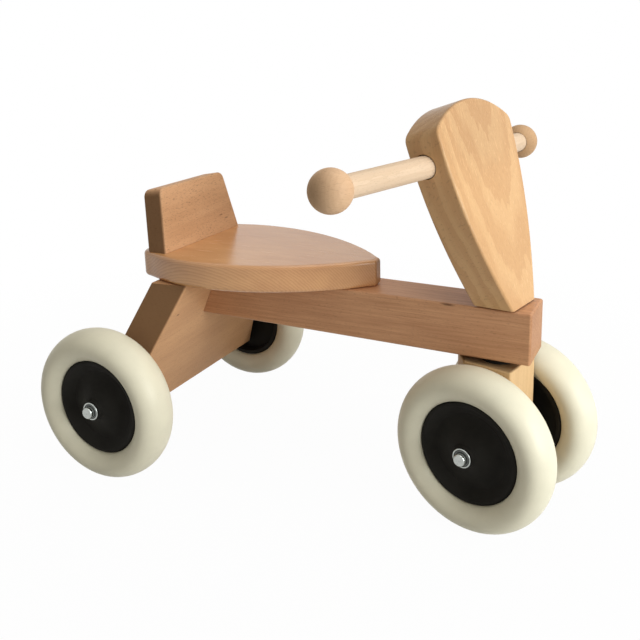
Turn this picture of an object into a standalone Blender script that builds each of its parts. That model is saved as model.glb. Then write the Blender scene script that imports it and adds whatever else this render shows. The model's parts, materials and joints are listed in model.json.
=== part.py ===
"""Wooden ride-on with a turning handlebar, two wide-set rear wheels and two close-set front wheels.

Metres, +Z up, +X forward, +Y to the rider's left. The origin is on the floor, on the centre line,
midway between the axles. The steering stands turned to the right by STEER_AT_REST.
"""
import math

import bmesh
import bpy
from mathutils import Matrix, Vector

OBJECT_NAME = "wooden_ride_on"

# Tyres: an oval section that meets the rim at the bead
WHEEL_RADIUS = 0.0750
TYRE_HALF_WIDTH = 0.0200
TYRE_SECTION_HEIGHT = 0.0152
TYRE_BEAD_TURN = math.radians(54.0)
TYRE_RIB_WIDTH = 0.0080
TYRE_RIB_DEPTH = 0.0026

# Hubs: a groove round a cone outside, dished inside, with a tail that reaches back along the axle
RIM_INSET = 0.0004
RIM_EDGE = 0.0012
RIM_FLAT = 0.0037
RIM_WALL = 0.0060
HUB_GROOVE_RUN = 0.0110
HUB_GROOVE = 0.0069
HUB_NOSE_RISE = 0.0076
HUB_BOSS = 0.0040
HUB_BOSS_TAPER = 0.0007
HUB_NOSE_MARGIN = 0.0010
HUB_DISH_FLOOR = 0.0005
HUB_TAIL_WALL = 0.0042
HUB_TAIL = 0.0110

# Axles, spacers and end caps
AXLE_RADIUS = 0.0040
AXLE_BEYOND_HUB = 0.0053
CAP_WALL = 0.0015
CAP_END = 0.0019
CAP_ROUND = 0.0016
CAP_FLANGE_WIDTH = 0.0031
CAP_FLANGE = 0.0016
SPACER_WALL = 0.0027
WHEELBASE = 0.3533

# Main beam, rising to the front
BEAM_SLOPE = math.radians(2.06)
BEAM_WIDTH = 0.0462
BEAM_HEIGHT = 0.0473
BEAM_OVER_WHEEL = 0.0007
BEAM_NOSE = 0.0328
BEAM_ROUND = 0.0022

# Rear leg: a leaning board that flares towards the floor and ends inside the hubs' dishes
LEG_LEAN = math.radians(22.3)
LEG_THICKNESS = 0.0355
LEG_FACE_AHEAD = 0.0145
LEG_HALF_WIDTH = 0.1140
LEG_FLARE = 0.327
LEG_ROUND = 0.0018
LEG_TO_DISH_WALL = 0.0038
LEG_TO_DISH_FLOOR = 0.0030
SPOT_FACE_MARGIN = 0.0038

# Seat: a shield-shaped board
SEAT_THICKNESS = 0.0262
SEAT_TAIL = 0.0040
SEAT_TAIL_RADIUS = 0.0120
SEAT_TAIL_HALF_WIDTH = 0.0640
SEAT_HALF_WIDTH = 0.0780
SEAT_WIDEST = 0.0700
SEAT_NOSE = 0.2312
SEAT_NOSE_HALF_WIDTH = 0.0068
SEAT_NOSE_RADIUS = 0.0030
SEAT_BLEND = 0.91
SEAT_ROUND = 0.0038

# Backrest: a board that narrows upwards
BACK_LEAN = math.radians(9.74)
BACK_THICKNESS = 0.0222
BACK_FACE_AHEAD = 0.0300
BACK_HEIGHT = 0.0640
BACK_HALF_WIDTH = 0.0646
BACK_TOP_HALF_WIDTH = 0.0532
BACK_CORNER = 0.0085
BACK_ROUND = 0.0024
BACK_HOUSING = 0.0002

# Steering: stem above the beam, block below it, joined by a pin that turns in a bush
STEER_AT_REST = math.radians(-12.35)
STEM_LEAN = math.radians(17.84)
STEM_THICKNESS = 0.0342
STEM_FACE_AHEAD = 0.0234
STEM_FOOT_HALF_WIDTH = 0.0206
STEM_HALF_WIDTH = 0.0640
STEM_SHOULDER = 0.1660
STEM_TOP_RADIUS = 0.1050
STEM_CORNER = 0.0100
STEM_SWELL = 1.9
STEM_ROUND = 0.0024
BLOCK_LENGTH = 0.0603
BLOCK_MIDDLE_BEHIND = 0.0066
BLOCK_WIDTH = 0.0490
BLOCK_BELOW_AXLE = 0.0230
BLOCK_ROUND = 0.0020
BLOCK_CHAMFER = 0.0140
TYRE_TO_BLOCK = 0.0011
PIN_RADIUS = 0.0060
PIN_OVER_AXLE = 0.0097
PIN_IN_STEM = 0.0280
BUSH_WALL = 0.0027
BUSH_FLANGE_WIDTH = 0.0080
BUSH_FLANGE = 0.0020
BUSH_SHORT = 0.0012
THRUST_WASHER = 0.0026
STEM_WASHER = 0.0008
STEM_WASHER_WIDTH = 0.0086
LOCK_RADIUS = 0.0025
LOCK_BEYOND_PIN = 0.0070
LOCK_SUNK = 0.0005

# Handlebar: two grips swept back from the stem's sides, with a ball on each
GRIP_RADIUS = 0.0098
GRIP_SWEEP = math.radians(12.3)
GRIP_DROOP = math.radians(3.4)
GRIP_UP_STEM = 0.1394
GRIP_BEHIND_MIDDLE = 0.0050
GRIP_IN_STEM = 0.0380
GRIP_IN_BALL = 0.0110
BALL_RADIUS = 0.0177
BALL_OUT = 0.1587

# Wooden pins and seat screws
FRAME_PIN_RADIUS = 0.0050
BEAM_PIN_SPREAD = 0.0110
BEAM_PIN_IN_BEAM = 0.0280
LEG_PIN_SPREAD = 0.0450
LEG_PIN_IN_LEG = 0.0200
BACK_PIN_RADIUS = 0.0040
BACK_PIN_SPREAD = 0.0350
BACK_PIN_IN_BACK = 0.0240
PIN_COVER = 0.0110
SCREW_RADIUS = 0.0025
SCREW_TIP_RADIUS = 0.0010
SCREW_TIP = 0.0038
SCREW_HEAD_RADIUS = 0.0050
SCREW_HEAD = 0.0030
SCREW_RIM = 0.0006
SCREW_SUNK = 0.0050
SCREW_FROM_NOSE = 0.0410
SCREW_PITCH = 0.0900

# Fits: pieces that touch, and pieces that turn
TOUCH = 0.0003
RUN = 0.00035
EDGE = 0.0010
CUT_REACH = 0.3000

# Facets
WHEEL_STEPS = 32
ROUND_STEPS = 24
PIN_STEPS = 16
TYRE_STEPS = 13

# Finishes: name, colour, roughness, metallic
OILED_BEECH = ("oiled_beech", (0.60, 0.38, 0.20), 0.5, 0.0)
PALE_BEECH = ("pale_beech", (0.72, 0.54, 0.36), 0.6, 0.0)
CREAM_RUBBER = ("cream_rubber", (0.78, 0.73, 0.58), 0.55, 0.0)
BLACK_PLASTIC = ("black_plastic", (0.012, 0.012, 0.011), 0.5, 0.0)
BRIGHT_STEEL = ("bright_steel", (0.75, 0.75, 0.74), 0.25, 1.0)

# Directions
STRAIGHT = Matrix.Identity(3)
UPRIGHT = Matrix.Rotation(math.pi / 2, 3, "Z") @ Matrix.Rotation(math.pi / 2, 3, "X")
ALONG_X = Matrix.Rotation(math.pi / 2, 3, "Y")
ALONG_Y = Matrix.Rotation(-math.pi / 2, 3, "X")
OUT_RIGHT = Matrix.Rotation(math.pi / 2, 3, "X")
OUT_LEFT = ALONG_Y
SIDES = (("right", -1, OUT_RIGHT), ("left", 1, OUT_LEFT))

for old in list(bpy.data.objects):
    bpy.data.objects.remove(old, do_unlink=True)
for old in list(bpy.data.collections):
    bpy.data.collections.remove(old)

parts = bpy.data.collections.new(OBJECT_NAME)
cutters = bpy.data.collections.new("cutters")
bpy.context.scene.collection.children.link(parts)
bpy.context.scene.collection.children.link(cutters)


def material(name, colour, roughness, metallic):
    made = bpy.data.materials.new(name)
    made.use_nodes = True
    shader = made.node_tree.nodes["Principled BSDF"]
    shader.inputs["Base Color"].default_value = (*colour, 1.0)
    shader.inputs["Roughness"].default_value = roughness
    shader.inputs["Metallic"].default_value = metallic
    return made


def empty(name, parent=None, location=(0, 0, 0)):
    made = bpy.data.objects.new(name, None)
    parts.objects.link(made)
    made.parent = parent
    made.location = location
    return made


def place(made, parent, location, rotation):
    made.parent = parent
    made.location = location
    made.rotation_euler = rotation.to_euler()


def piece(mesh, finish, parent, location=(0, 0, 0), rotation=STRAIGHT):
    """One sub-part, named as its mesh."""
    made = bpy.data.objects.new(mesh.name, mesh)
    parts.objects.link(made)
    place(made, parent, location, rotation)
    label, colour, roughness, metallic = finish
    mesh.materials.append(material(mesh.name + "_" + label, colour, roughness, metallic))
    return made


def cut(targets, mesh, parent, location=(0, 0, 0), rotation=STRAIGHT):
    """Take a mesh's shape out of each target."""
    tool = bpy.data.objects.new(mesh.name, mesh)
    cutters.objects.link(tool)
    place(tool, parent, location, rotation)
    tool.hide_render = True
    tool.display_type = "WIRE"
    for target in targets:
        step = target.modifiers.new(mesh.name, "BOOLEAN")
        step.operation = "DIFFERENCE"
        step.solver = "EXACT"
        step.object = tool


def smooth(mesh):
    mesh.shade_smooth()
    mesh.set_sharp_from_angle(angle=math.radians(35))


def rod(name, radius, low, high, steps=PIN_STEPS):
    """A round bar along Z."""
    mesh = bpy.data.meshes.new(name)
    shape = bmesh.new()
    middle = Matrix.Translation((0, 0, (low + high) / 2))
    bmesh.ops.create_cone(shape, cap_ends=True, segments=steps, radius1=radius, radius2=radius,
                          depth=high - low, matrix=middle)
    shape.to_mesh(mesh)
    shape.free()
    smooth(mesh)
    return mesh


def box(name, low, high):
    mesh = bpy.data.meshes.new(name)
    low, high = Vector(low), Vector(high)
    shape = bmesh.new()
    bmesh.ops.create_cube(shape, size=1.0)
    bmesh.ops.scale(shape, vec=high - low, verts=shape.verts)
    bmesh.ops.translate(shape, vec=(low + high) / 2, verts=shape.verts)
    shape.to_mesh(mesh)
    shape.free()
    return mesh


def ease_edges(made, width):
    ease = made.modifiers.new("ease", "BEVEL")
    ease.width = width
    ease.segments = 2


def turned(name, profile, closed, steps, finish, parent, rotation=STRAIGHT, location=(0, 0, 0)):
    """A profile of (radius, height) points, outer side downwards, turned about Z."""
    mesh = bpy.data.meshes.new(name)
    shape = bmesh.new()
    points = [shape.verts.new((radius, 0, height)) for radius, height in profile]
    for first, second in zip(points, points[1:]):
        shape.edges.new((first, second))
    if closed:
        shape.edges.new((points[-1], points[0]))
    shape.to_mesh(mesh)
    shape.free()
    made = piece(mesh, finish, parent, location, rotation)
    turn = made.modifiers.new("turn", "SCREW")
    turn.axis = "Z"
    turn.steps = steps
    turn.render_steps = steps
    turn.use_merge_vertices = True
    turn.merge_threshold = 0.00001
    turn.use_smooth_shade = True
    return made


def board(name, outline, thickness, round_width, round_steps, sharp_below=None):
    """A flat outline in XY, thick along Z, with rounded rims above sharp_below."""
    curve = bpy.data.curves.new(name + "_outline", "CURVE")
    curve.dimensions = "2D"
    curve.fill_mode = "BOTH"
    curve.extrude = thickness / 2
    spline = curve.splines.new("POLY")
    spline.points.add(len(outline) - 1)
    for point, (x, y) in zip(spline.points, outline):
        point.co = (x, y, 0, 1)
    spline.use_cyclic_u = True
    holder = bpy.data.objects.new(name + "_outline", curve)
    cutters.objects.link(holder)
    graph = bpy.context.evaluated_depsgraph_get()
    mesh = bpy.data.meshes.new_from_object(holder.evaluated_get(graph))
    bpy.data.objects.remove(holder, do_unlink=True)
    mesh.name = name
    shape = bmesh.new()
    shape.from_mesh(mesh)
    bmesh.ops.remove_doubles(shape, verts=shape.verts, dist=0.000005)
    bmesh.ops.dissolve_limit(shape, angle_limit=0.002, verts=shape.verts, edges=shape.edges)
    bmesh.ops.recalc_face_normals(shape, faces=shape.faces)
    rims = []
    for edge in shape.edges:
        ends = [abs(face.normal.z) > 0.9 for face in edge.link_faces]
        kept = sharp_below is None or max(vert.co.y for vert in edge.verts) > sharp_below
        if ends.count(True) == 1 and kept:
            rims.append(edge)
    bmesh.ops.bevel(shape, geom=rims, offset=round_width, offset_type="OFFSET", segments=round_steps,
                    profile=0.5, affect="EDGES", clamp_overlap=True)
    bmesh.ops.recalc_face_normals(shape, faces=shape.faces)
    shape.to_mesh(mesh)
    shape.free()
    smooth(mesh)
    return mesh


def arc(centre_x, centre_y, radius, start, end, count):
    turns = [math.radians(start + (end - start) * i / (count - 1)) for i in range(count)]
    return [(centre_x + radius * math.cos(turn), centre_y + radius * math.sin(turn)) for turn in turns]


def both_sides(half):
    """A half outline at positive x, listed upwards, closed across x = 0."""
    return half + [(-x, y) for x, y in reversed(half) if x > EDGE / 100]


def pin(name, radius, low, high, targets, parent, location, rotation=STRAIGHT):
    """A wooden pin and its hole in each target."""
    piece(rod(name, radius, low, high), PALE_BEECH, parent, location, rotation)
    hole = rod(name + "_hole", radius + TOUCH, low - TOUCH, high + TOUCH)
    cut(targets, hole, parent, location, rotation)


# Wheel sizes that follow from the tyre and the axle
tyre_middle = WHEEL_RADIUS - TYRE_SECTION_HEIGHT
bead_radius = tyre_middle - TYRE_SECTION_HEIGHT * math.sin(TYRE_BEAD_TURN)
rim_radius = bead_radius - TOUCH
rim_out = TYRE_HALF_WIDTH * math.cos(TYRE_BEAD_TURN) - RIM_INSET
dish_radius = rim_radius - RIM_WALL
hub_bore = AXLE_RADIUS + RUN
hub_tail_radius = hub_bore + HUB_TAIL_WALL
hub_nose = rim_out + HUB_NOSE_RISE
axle_fit = AXLE_RADIUS + TOUCH
cap_low = hub_nose + TOUCH
cap_dome_radius = axle_fit + CAP_WALL
cap_flange_radius = cap_dome_radius + CAP_FLANGE_WIDTH
axle_end = hub_nose + AXLE_BEYOND_HUB

# Leg sizes: its foot stays inside the dish, and the wheels stand clear of its flared sides
leg_lean_turn = Matrix.Rotation(LEG_LEAN, 3, "Y")
leg_normal = leg_lean_turn @ Vector((1, 0, 0))
leg_face = Vector((LEG_FACE_AHEAD, 0, 0))
axle_to_leg_back = LEG_THICKNESS - LEG_FACE_AHEAD * math.cos(LEG_LEAN)
axle_up_leg = -LEG_FACE_AHEAD * math.sin(LEG_LEAN)
leg_reach = dish_radius - LEG_TO_DISH_WALL
leg_foot = axle_up_leg - math.sqrt(leg_reach ** 2 - axle_to_leg_back ** 2)
leg_foot_half_width = LEG_HALF_WIDTH - LEG_FLARE * leg_foot
spot_face_radius = hub_tail_radius + SPOT_FACE_MARGIN
spot_face_out = LEG_HALF_WIDTH - LEG_FLARE * (spot_face_radius + EDGE)
rear_half_track = leg_foot_half_width + LEG_TO_DISH_FLOOR - HUB_DISH_FLOOR
front_half_track = BLOCK_WIDTH / 2 + TYRE_TO_BLOCK + TYRE_HALF_WIDTH

# Heights along the steering axis, from the front axle
axle_to_bottom = (WHEEL_RADIUS + BEAM_OVER_WHEEL) * math.cos(BEAM_SLOPE)
axle_to_top = axle_to_bottom + BEAM_HEIGHT
flange_low = axle_to_bottom - TOUCH - BUSH_FLANGE
thrust_low = flange_low - TOUCH - THRUST_WASHER
block_top = thrust_low - TOUCH
stem_washer_low = axle_to_top + TOUCH
stem_foot = stem_washer_low + STEM_WASHER + TOUCH
pin_foot = axle_fit + PIN_OVER_AXLE
pin_top = stem_foot + PIN_IN_STEM

# Lines that the pieces are placed on
beam_top_over_rear_axle = axle_to_top / math.cos(BEAM_SLOPE) - WHEELBASE * math.tan(BEAM_SLOPE)
body = empty("frame_root")
rear_axle_line = empty("rear_axle_line", body, (-WHEELBASE / 2, 0, WHEEL_RADIUS))
beam_line = empty("beam_line", rear_axle_line, (0, 0, beam_top_over_rear_axle))
beam_line.rotation_euler = (0, -BEAM_SLOPE, 0)
steering = empty("steering_pivot", body, (WHEELBASE / 2, 0, WHEEL_RADIUS))
steering.rotation_mode = "ZYX"
steering.rotation_euler = (0, -BEAM_SLOPE, STEER_AT_REST)
bpy.context.view_layer.update()
front_axle_line = empty("front_axle_line", steering)
front_axle_line.matrix_parent_inverse = steering.matrix_world.inverted()
front_axle_line.matrix_basis = (Matrix.Translation((WHEELBASE / 2, 0, WHEEL_RADIUS))
                                @ Matrix.Rotation(STEER_AT_REST, 4, "Z"))

beam_ahead = Vector((math.cos(BEAM_SLOPE), 0, math.sin(BEAM_SLOPE)))
beam_up = Vector((-math.sin(BEAM_SLOPE), 0, math.cos(BEAM_SLOPE)))
leg_along_beam = LEG_THICKNESS / beam_ahead.dot(leg_normal)
axis_ahead = WHEELBASE * math.cos(BEAM_SLOPE) - beam_top_over_rear_axle * math.sin(BEAM_SLOPE)
seat_low = TOUCH / 2
seat_top = seat_low + SEAT_THICKNESS


def leg_face_at(depth):
    """How far ahead along the beam the leg's front face is, at a depth below the beam's top."""
    from_beam = leg_face - Vector((0, 0, beam_top_over_rear_axle)) + beam_up * depth
    return from_beam.dot(leg_normal) / beam_ahead.dot(leg_normal)


# Main beam, cut off along the leg's face
half_width = BEAM_WIDTH / 2
beam_box = box("main_beam", (0, -half_width, -BEAM_HEIGHT), (axis_ahead + BEAM_NOSE, half_width, 0))
main_beam = piece(beam_box, OILED_BEECH, beam_line)
ease_edges(main_beam, BEAM_ROUND)
leg_space = box("leg_space", (-CUT_REACH, -CUT_REACH, -CUT_REACH), (TOUCH, CUT_REACH, CUT_REACH))
cut([main_beam], leg_space, rear_axle_line, leg_face, leg_lean_turn)

# Rear leg, cut off under the seat
leg_top = (beam_top_over_rear_axle + LEG_THICKNESS) / math.cos(LEG_LEAN)
leg_half = [(leg_foot_half_width, leg_foot), (LEG_HALF_WIDTH - LEG_FLARE * leg_top, leg_top)]
leg_board = board("rear_leg", both_sides(leg_half), LEG_THICKNESS, LEG_ROUND, 2)
leg_middle = leg_face - leg_normal * (LEG_THICKNESS / 2)
rear_leg = piece(leg_board, OILED_BEECH, rear_axle_line, leg_middle, leg_lean_turn @ UPRIGHT)
seat_space = box("seat_space", (-CUT_REACH, -CUT_REACH, -seat_low), (CUT_REACH, CUT_REACH, CUT_REACH))
cut([rear_leg], seat_space, beam_line)
cut([rear_leg], rod("rear_axle_bore", axle_fit, -CUT_REACH, CUT_REACH), rear_axle_line, rotation=ALONG_Y)
for side, sign, outward in SIDES:
    spot_face = rod("spot_face_" + side, spot_face_radius, spot_face_out, CUT_REACH, ROUND_STEPS)
    cut([rear_leg], spot_face, rear_axle_line, rotation=outward)

# Seat
tail_middle = SEAT_TAIL_RADIUS - SEAT_TAIL
seat_half = arc(tail_middle, SEAT_TAIL_HALF_WIDTH - SEAT_TAIL_RADIUS, SEAT_TAIL_RADIUS, 180, 100, 5)
for i in range(1, 5):
    x = tail_middle + (SEAT_WIDEST - tail_middle) * i / 4
    away = (SEAT_WIDEST - x) / (SEAT_WIDEST - tail_middle)
    seat_half.append((x, SEAT_HALF_WIDTH - (SEAT_HALF_WIDTH - SEAT_TAIL_HALF_WIDTH) * away ** 2))
for i in range(1, 12):
    u = (i / 11.4) ** 0.8
    x = SEAT_WIDEST + (SEAT_NOSE - SEAT_NOSE_RADIUS - SEAT_WIDEST) * u
    fall = (1 - u * u) ** SEAT_BLEND
    seat_half.append((x, SEAT_NOSE_HALF_WIDTH + (SEAT_HALF_WIDTH - SEAT_NOSE_HALF_WIDTH) * fall))
nose_middle = SEAT_NOSE_HALF_WIDTH - SEAT_NOSE_RADIUS
seat_half += arc(SEAT_NOSE - SEAT_NOSE_RADIUS, nose_middle, SEAT_NOSE_RADIUS, 60, 0, 3)
seat_outline = seat_half + [(x, -y) for x, y in reversed(seat_half)]
seat_board = board("seat", seat_outline, SEAT_THICKNESS, SEAT_ROUND, 2)
seat = piece(seat_board, OILED_BEECH, beam_line, (0, 0, seat_low + SEAT_THICKNESS / 2))

# Backrest, let into a shallow housing across the seat
back_side = math.atan2(BACK_HALF_WIDTH - BACK_TOP_HALF_WIDTH, BACK_HEIGHT)
corner_x = BACK_TOP_HALF_WIDTH - BACK_CORNER * math.tan(math.pi / 4 - back_side / 2)
back_half = [(BACK_HALF_WIDTH, 0)]
back_half += arc(corner_x, BACK_HEIGHT - BACK_CORNER, BACK_CORNER, math.degrees(back_side), 90, 6)
back_board = board("backrest", both_sides(back_half), BACK_THICKNESS, BACK_ROUND, 2, sharp_below=EDGE)
back_lean_turn = Matrix.Rotation(-BACK_LEAN, 3, "Y")
back_normal = back_lean_turn @ Vector((1, 0, 0))
housing_floor = seat_top - BACK_HOUSING
back_foot = housing_floor + TOUCH
back_middle = Vector((BACK_FACE_AHEAD, 0, back_foot)) - back_normal * (BACK_THICKNESS / 2)
backrest = piece(back_board, OILED_BEECH, beam_line, back_middle, back_lean_turn @ UPRIGHT)
below_back = box("below_back", (-CUT_REACH, -CUT_REACH, -CUT_REACH), (CUT_REACH, CUT_REACH, back_foot))
cut([backrest], below_back, beam_line)
housing_back = BACK_FACE_AHEAD - BACK_THICKNESS / math.cos(BACK_LEAN) - TOUCH
back_housing = box("back_housing", (housing_back, -CUT_REACH, housing_floor),
                   (BACK_FACE_AHEAD + TOUCH, CUT_REACH, CUT_REACH))
cut([seat], back_housing, beam_line)

# Wooden pins of the frame
beam_pin_at = leg_face_at(BEAM_HEIGHT / 2)
beam_pin_back = leg_along_beam - PIN_COVER
leg_pin_at = leg_face_at(LEG_PIN_IN_LEG / 2) - leg_along_beam / 2
back_pin_foot = PIN_COVER - SEAT_THICKNESS
for side, sign, outward in SIDES:
    beam_pin_place = (beam_pin_at, sign * BEAM_PIN_SPREAD, -BEAM_HEIGHT / 2)
    pin("beam_pin_" + side, FRAME_PIN_RADIUS, -beam_pin_back, BEAM_PIN_IN_BEAM, [rear_leg, main_beam],
        beam_line, beam_pin_place, ALONG_X)
    leg_pin_place = (leg_pin_at, sign * LEG_PIN_SPREAD, 0)
    pin("leg_pin_" + side, FRAME_PIN_RADIUS, -LEG_PIN_IN_LEG, seat_top - PIN_COVER, [rear_leg, seat],
        beam_line, leg_pin_place)
    back_pin_place = back_middle + Vector((0, sign * BACK_PIN_SPREAD, 0))
    pin("back_pin_" + side, BACK_PIN_RADIUS, back_pin_foot, BACK_PIN_IN_BACK, [backrest, seat],
        beam_line, back_pin_place, back_lean_turn)

# Seat screws, sunk into the beam's underside
screw_low = SCREW_SUNK - BEAM_HEIGHT
screw_neck = screw_low + SCREW_HEAD
screw_end = seat_top - PIN_COVER
screw_profile = [(0, screw_end), (SCREW_TIP_RADIUS, screw_end), (SCREW_RADIUS, screw_end - SCREW_TIP),
                 (SCREW_RADIUS, screw_neck), (SCREW_HEAD_RADIUS, screw_low + SCREW_RIM),
                 (SCREW_HEAD_RADIUS, screw_low), (0, screw_low)]
front_screw_at = SEAT_NOSE - SCREW_FROM_NOSE
for end, ahead in (("front", front_screw_at), ("rear", front_screw_at - SCREW_PITCH)):
    name = "seat_screw_" + end
    turned(name, screw_profile, False, PIN_STEPS, BRIGHT_STEEL, beam_line, location=(ahead, 0, 0))
    shank_hole = rod(name + "_hole", SCREW_RADIUS + TOUCH, -CUT_REACH, screw_end + TOUCH)
    cut([main_beam, seat], shank_hole, beam_line, (ahead, 0, 0))
    head_hole = rod(name + "_sink", SCREW_HEAD_RADIUS + TOUCH, -CUT_REACH, screw_neck + TOUCH)
    cut([main_beam], head_hole, beam_line, (ahead, 0, 0))

# Steering bush, fixed in the beam
bush_bore = PIN_RADIUS + RUN
bush_radius = bush_bore + BUSH_WALL
flange_radius = bush_radius + BUSH_FLANGE_WIDTH
flange_from_top = flange_low - axle_to_top
flange_top = flange_from_top + BUSH_FLANGE
bush_profile = [(bush_bore, -BUSH_SHORT), (bush_radius, -BUSH_SHORT), (bush_radius, flange_top),
                (flange_radius, flange_top), (flange_radius, flange_from_top), (bush_bore, flange_from_top)]
turned("steering_bush", bush_profile, True, ROUND_STEPS, BLACK_PLASTIC, beam_line,
       location=(axis_ahead, 0, 0))
bush_hole = rod("bush_hole", bush_radius + TOUCH, -CUT_REACH, CUT_REACH, ROUND_STEPS)
cut([main_beam], bush_hole, beam_line, (axis_ahead, 0, 0))

# Front block
block_back = -BLOCK_MIDDLE_BEHIND - BLOCK_LENGTH / 2
half_width = BLOCK_WIDTH / 2
block_box = box("front_block", (block_back, -half_width, -BLOCK_BELOW_AXLE),
                (block_back + BLOCK_LENGTH, half_width, block_top))
front_block = piece(block_box, OILED_BEECH, steering)
ease_edges(front_block, BLOCK_ROUND)
for side, sign, outward in SIDES:
    corner = box("block_corner_" + side, (0, -CUT_REACH, -CUT_REACH), (CUT_REACH, CUT_REACH, CUT_REACH))
    cut([front_block], corner, steering, (block_back + BLOCK_CHAMFER, sign * half_width, 0),
        Matrix.Rotation(sign * math.radians(135), 3, "Z"))
front_bore = rod("front_axle_bore", axle_fit, -CUT_REACH, CUT_REACH)
cut([front_block], front_bore, front_axle_line, rotation=ALONG_Y)


# Steering stem: a board that swells from its foot to its rounded shoulders, with a round top
def stem_half_width(up):
    swell = 1 - max(0, 1 - up / STEM_SHOULDER) ** STEM_SWELL
    return STEM_FOOT_HALF_WIDTH + (STEM_HALF_WIDTH - STEM_FOOT_HALF_WIDTH) * swell


stem_start = -2 * STEM_ROUND
top_middle = STEM_SHOULDER - math.sqrt(STEM_TOP_RADIUS ** 2 - STEM_HALF_WIDTH ** 2)
corner_in = STEM_HALF_WIDTH - STEM_CORNER
corner_over_middle = math.sqrt((STEM_TOP_RADIUS - STEM_CORNER) ** 2 - corner_in ** 2)
corner_up = top_middle + corner_over_middle
corner_turn = math.degrees(math.atan2(corner_over_middle, corner_in))
stem_half = []
for i in range(13):
    up = stem_start + (corner_up - stem_start) * i / 12
    stem_half.append((stem_half_width(up), up))
stem_half += arc(corner_in, corner_up, STEM_CORNER, 0, corner_turn, 6)[1:]
stem_half += arc(0, top_middle, STEM_TOP_RADIUS, corner_turn, 90, 7)[1:]
stem_board = board("steering_stem", both_sides(stem_half), STEM_THICKNESS, STEM_ROUND, 2)
stem_lean_turn = Matrix.Rotation(-STEM_LEAN, 3, "Y")
stem_normal = stem_lean_turn @ Vector((1, 0, 0))
stem_up = stem_lean_turn @ Vector((0, 0, 1))
stem_middle = Vector((STEM_FACE_AHEAD, 0, axle_to_top)) - stem_normal * (STEM_THICKNESS / 2)
steering_stem = piece(stem_board, OILED_BEECH, steering, stem_middle, stem_lean_turn @ UPRIGHT)
below_stem = box("below_stem", (-CUT_REACH, -CUT_REACH, -CUT_REACH), (CUT_REACH, CUT_REACH, stem_foot))
cut([steering_stem], below_stem, steering)

# Steering pin, glued and cross-pinned into the stem and the block
steering_pin = piece(rod("steering_pin", PIN_RADIUS, pin_foot, pin_top, ROUND_STEPS), BRIGHT_STEEL, steering)
pin_hole = rod("steering_pin_hole", PIN_RADIUS + TOUCH, pin_foot - TOUCH, pin_top + TOUCH, ROUND_STEPS)
cut([front_block, steering_stem], pin_hole, steering)
stem_lock_up = stem_foot + PIN_IN_STEM / 2
stem_back = (STEM_FACE_AHEAD - (stem_lock_up - axle_to_top) * math.tan(STEM_LEAN)
             - STEM_THICKNESS / math.cos(STEM_LEAN))
stem_lock_sunk = LOCK_SUNK + LOCK_RADIUS * math.tan(STEM_LEAN)
LOCKS = (("block_lock_pin", front_block, block_back, (pin_foot + block_top) / 2, LOCK_SUNK),
         ("stem_lock_pin", steering_stem, stem_back, stem_lock_up, stem_lock_sunk))
for name, held, back, height, sunk in LOCKS:
    lock_end = PIN_RADIUS + LOCK_BEYOND_PIN - back
    lock_place = (back, 0, height)
    piece(rod(name, LOCK_RADIUS, sunk, lock_end), BRIGHT_STEEL, steering, lock_place, ALONG_X)
    lock_hole = rod(name + "_hole", LOCK_RADIUS + TOUCH, -LOCK_BEYOND_PIN, lock_end + TOUCH)
    cut([held, steering_pin], lock_hole, steering, lock_place, ALONG_X)

# Washers under and over the beam
stem_washer_radius = bush_bore + STEM_WASHER_WIDTH
WASHERS = (("thrust_washer", thrust_low, THRUST_WASHER, flange_radius),
           ("stem_washer", stem_washer_low, STEM_WASHER, stem_washer_radius))
for name, low, thickness, radius in WASHERS:
    high = low + thickness
    ring = [(bush_bore, high), (radius, high), (radius, low), (bush_bore, low)]
    turned(name, ring, True, ROUND_STEPS, BLACK_PLASTIC, steering)

# Handlebar
grip_foot = stem_middle + stem_up * GRIP_UP_STEM - stem_normal * GRIP_BEHIND_MIDDLE
grip_out = stem_half_width(GRIP_UP_STEM)
for side, sign, outward in SIDES:
    away = Vector((-math.tan(GRIP_SWEEP), sign, -math.tan(GRIP_DROOP)))
    along = away.normalized()
    grip_turn = along.to_track_quat("Z", "Y").to_matrix()
    grip_root = grip_foot + Vector((0, sign * grip_out, 0))
    ball_along = (BALL_OUT - grip_out) * away.length
    grip_end = ball_along - BALL_RADIUS + GRIP_IN_BALL
    piece(rod("grip_" + side, GRIP_RADIUS, -GRIP_IN_STEM, grip_end, ROUND_STEPS), PALE_BEECH, steering,
          grip_root, grip_turn)
    ball_mesh = bpy.data.meshes.new("ball_" + side)
    shape = bmesh.new()
    bmesh.ops.create_uvsphere(shape, u_segments=20, v_segments=12, radius=BALL_RADIUS)
    shape.to_mesh(ball_mesh)
    shape.free()
    smooth(ball_mesh)
    ball = piece(ball_mesh, PALE_BEECH, steering, grip_root + along * ball_along, grip_turn)
    grip_hole = rod("grip_hole_" + side, GRIP_RADIUS + TOUCH, -GRIP_IN_STEM - TOUCH, grip_end + TOUCH,
                    ROUND_STEPS)
    cut([steering_stem, ball], grip_hole, steering, grip_root, grip_turn)

# Profiles of one wheel; height runs outwards along the axle, from the wheel's middle
tyre_profile = []
for i in range(TYRE_STEPS):
    turn = math.pi / 2 + TYRE_BEAD_TURN - (math.pi + 2 * TYRE_BEAD_TURN) * i / (TYRE_STEPS - 1)
    radius = tyre_middle + TYRE_SECTION_HEIGHT * math.cos(turn)
    tyre_profile.append((radius, TYRE_HALF_WIDTH * math.sin(turn)))
rib_out = TYRE_RIB_WIDTH / 2
tyre_profile += [(bead_radius, -rib_out), (bead_radius - TYRE_RIB_DEPTH, 0), (bead_radius, rib_out)]

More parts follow.
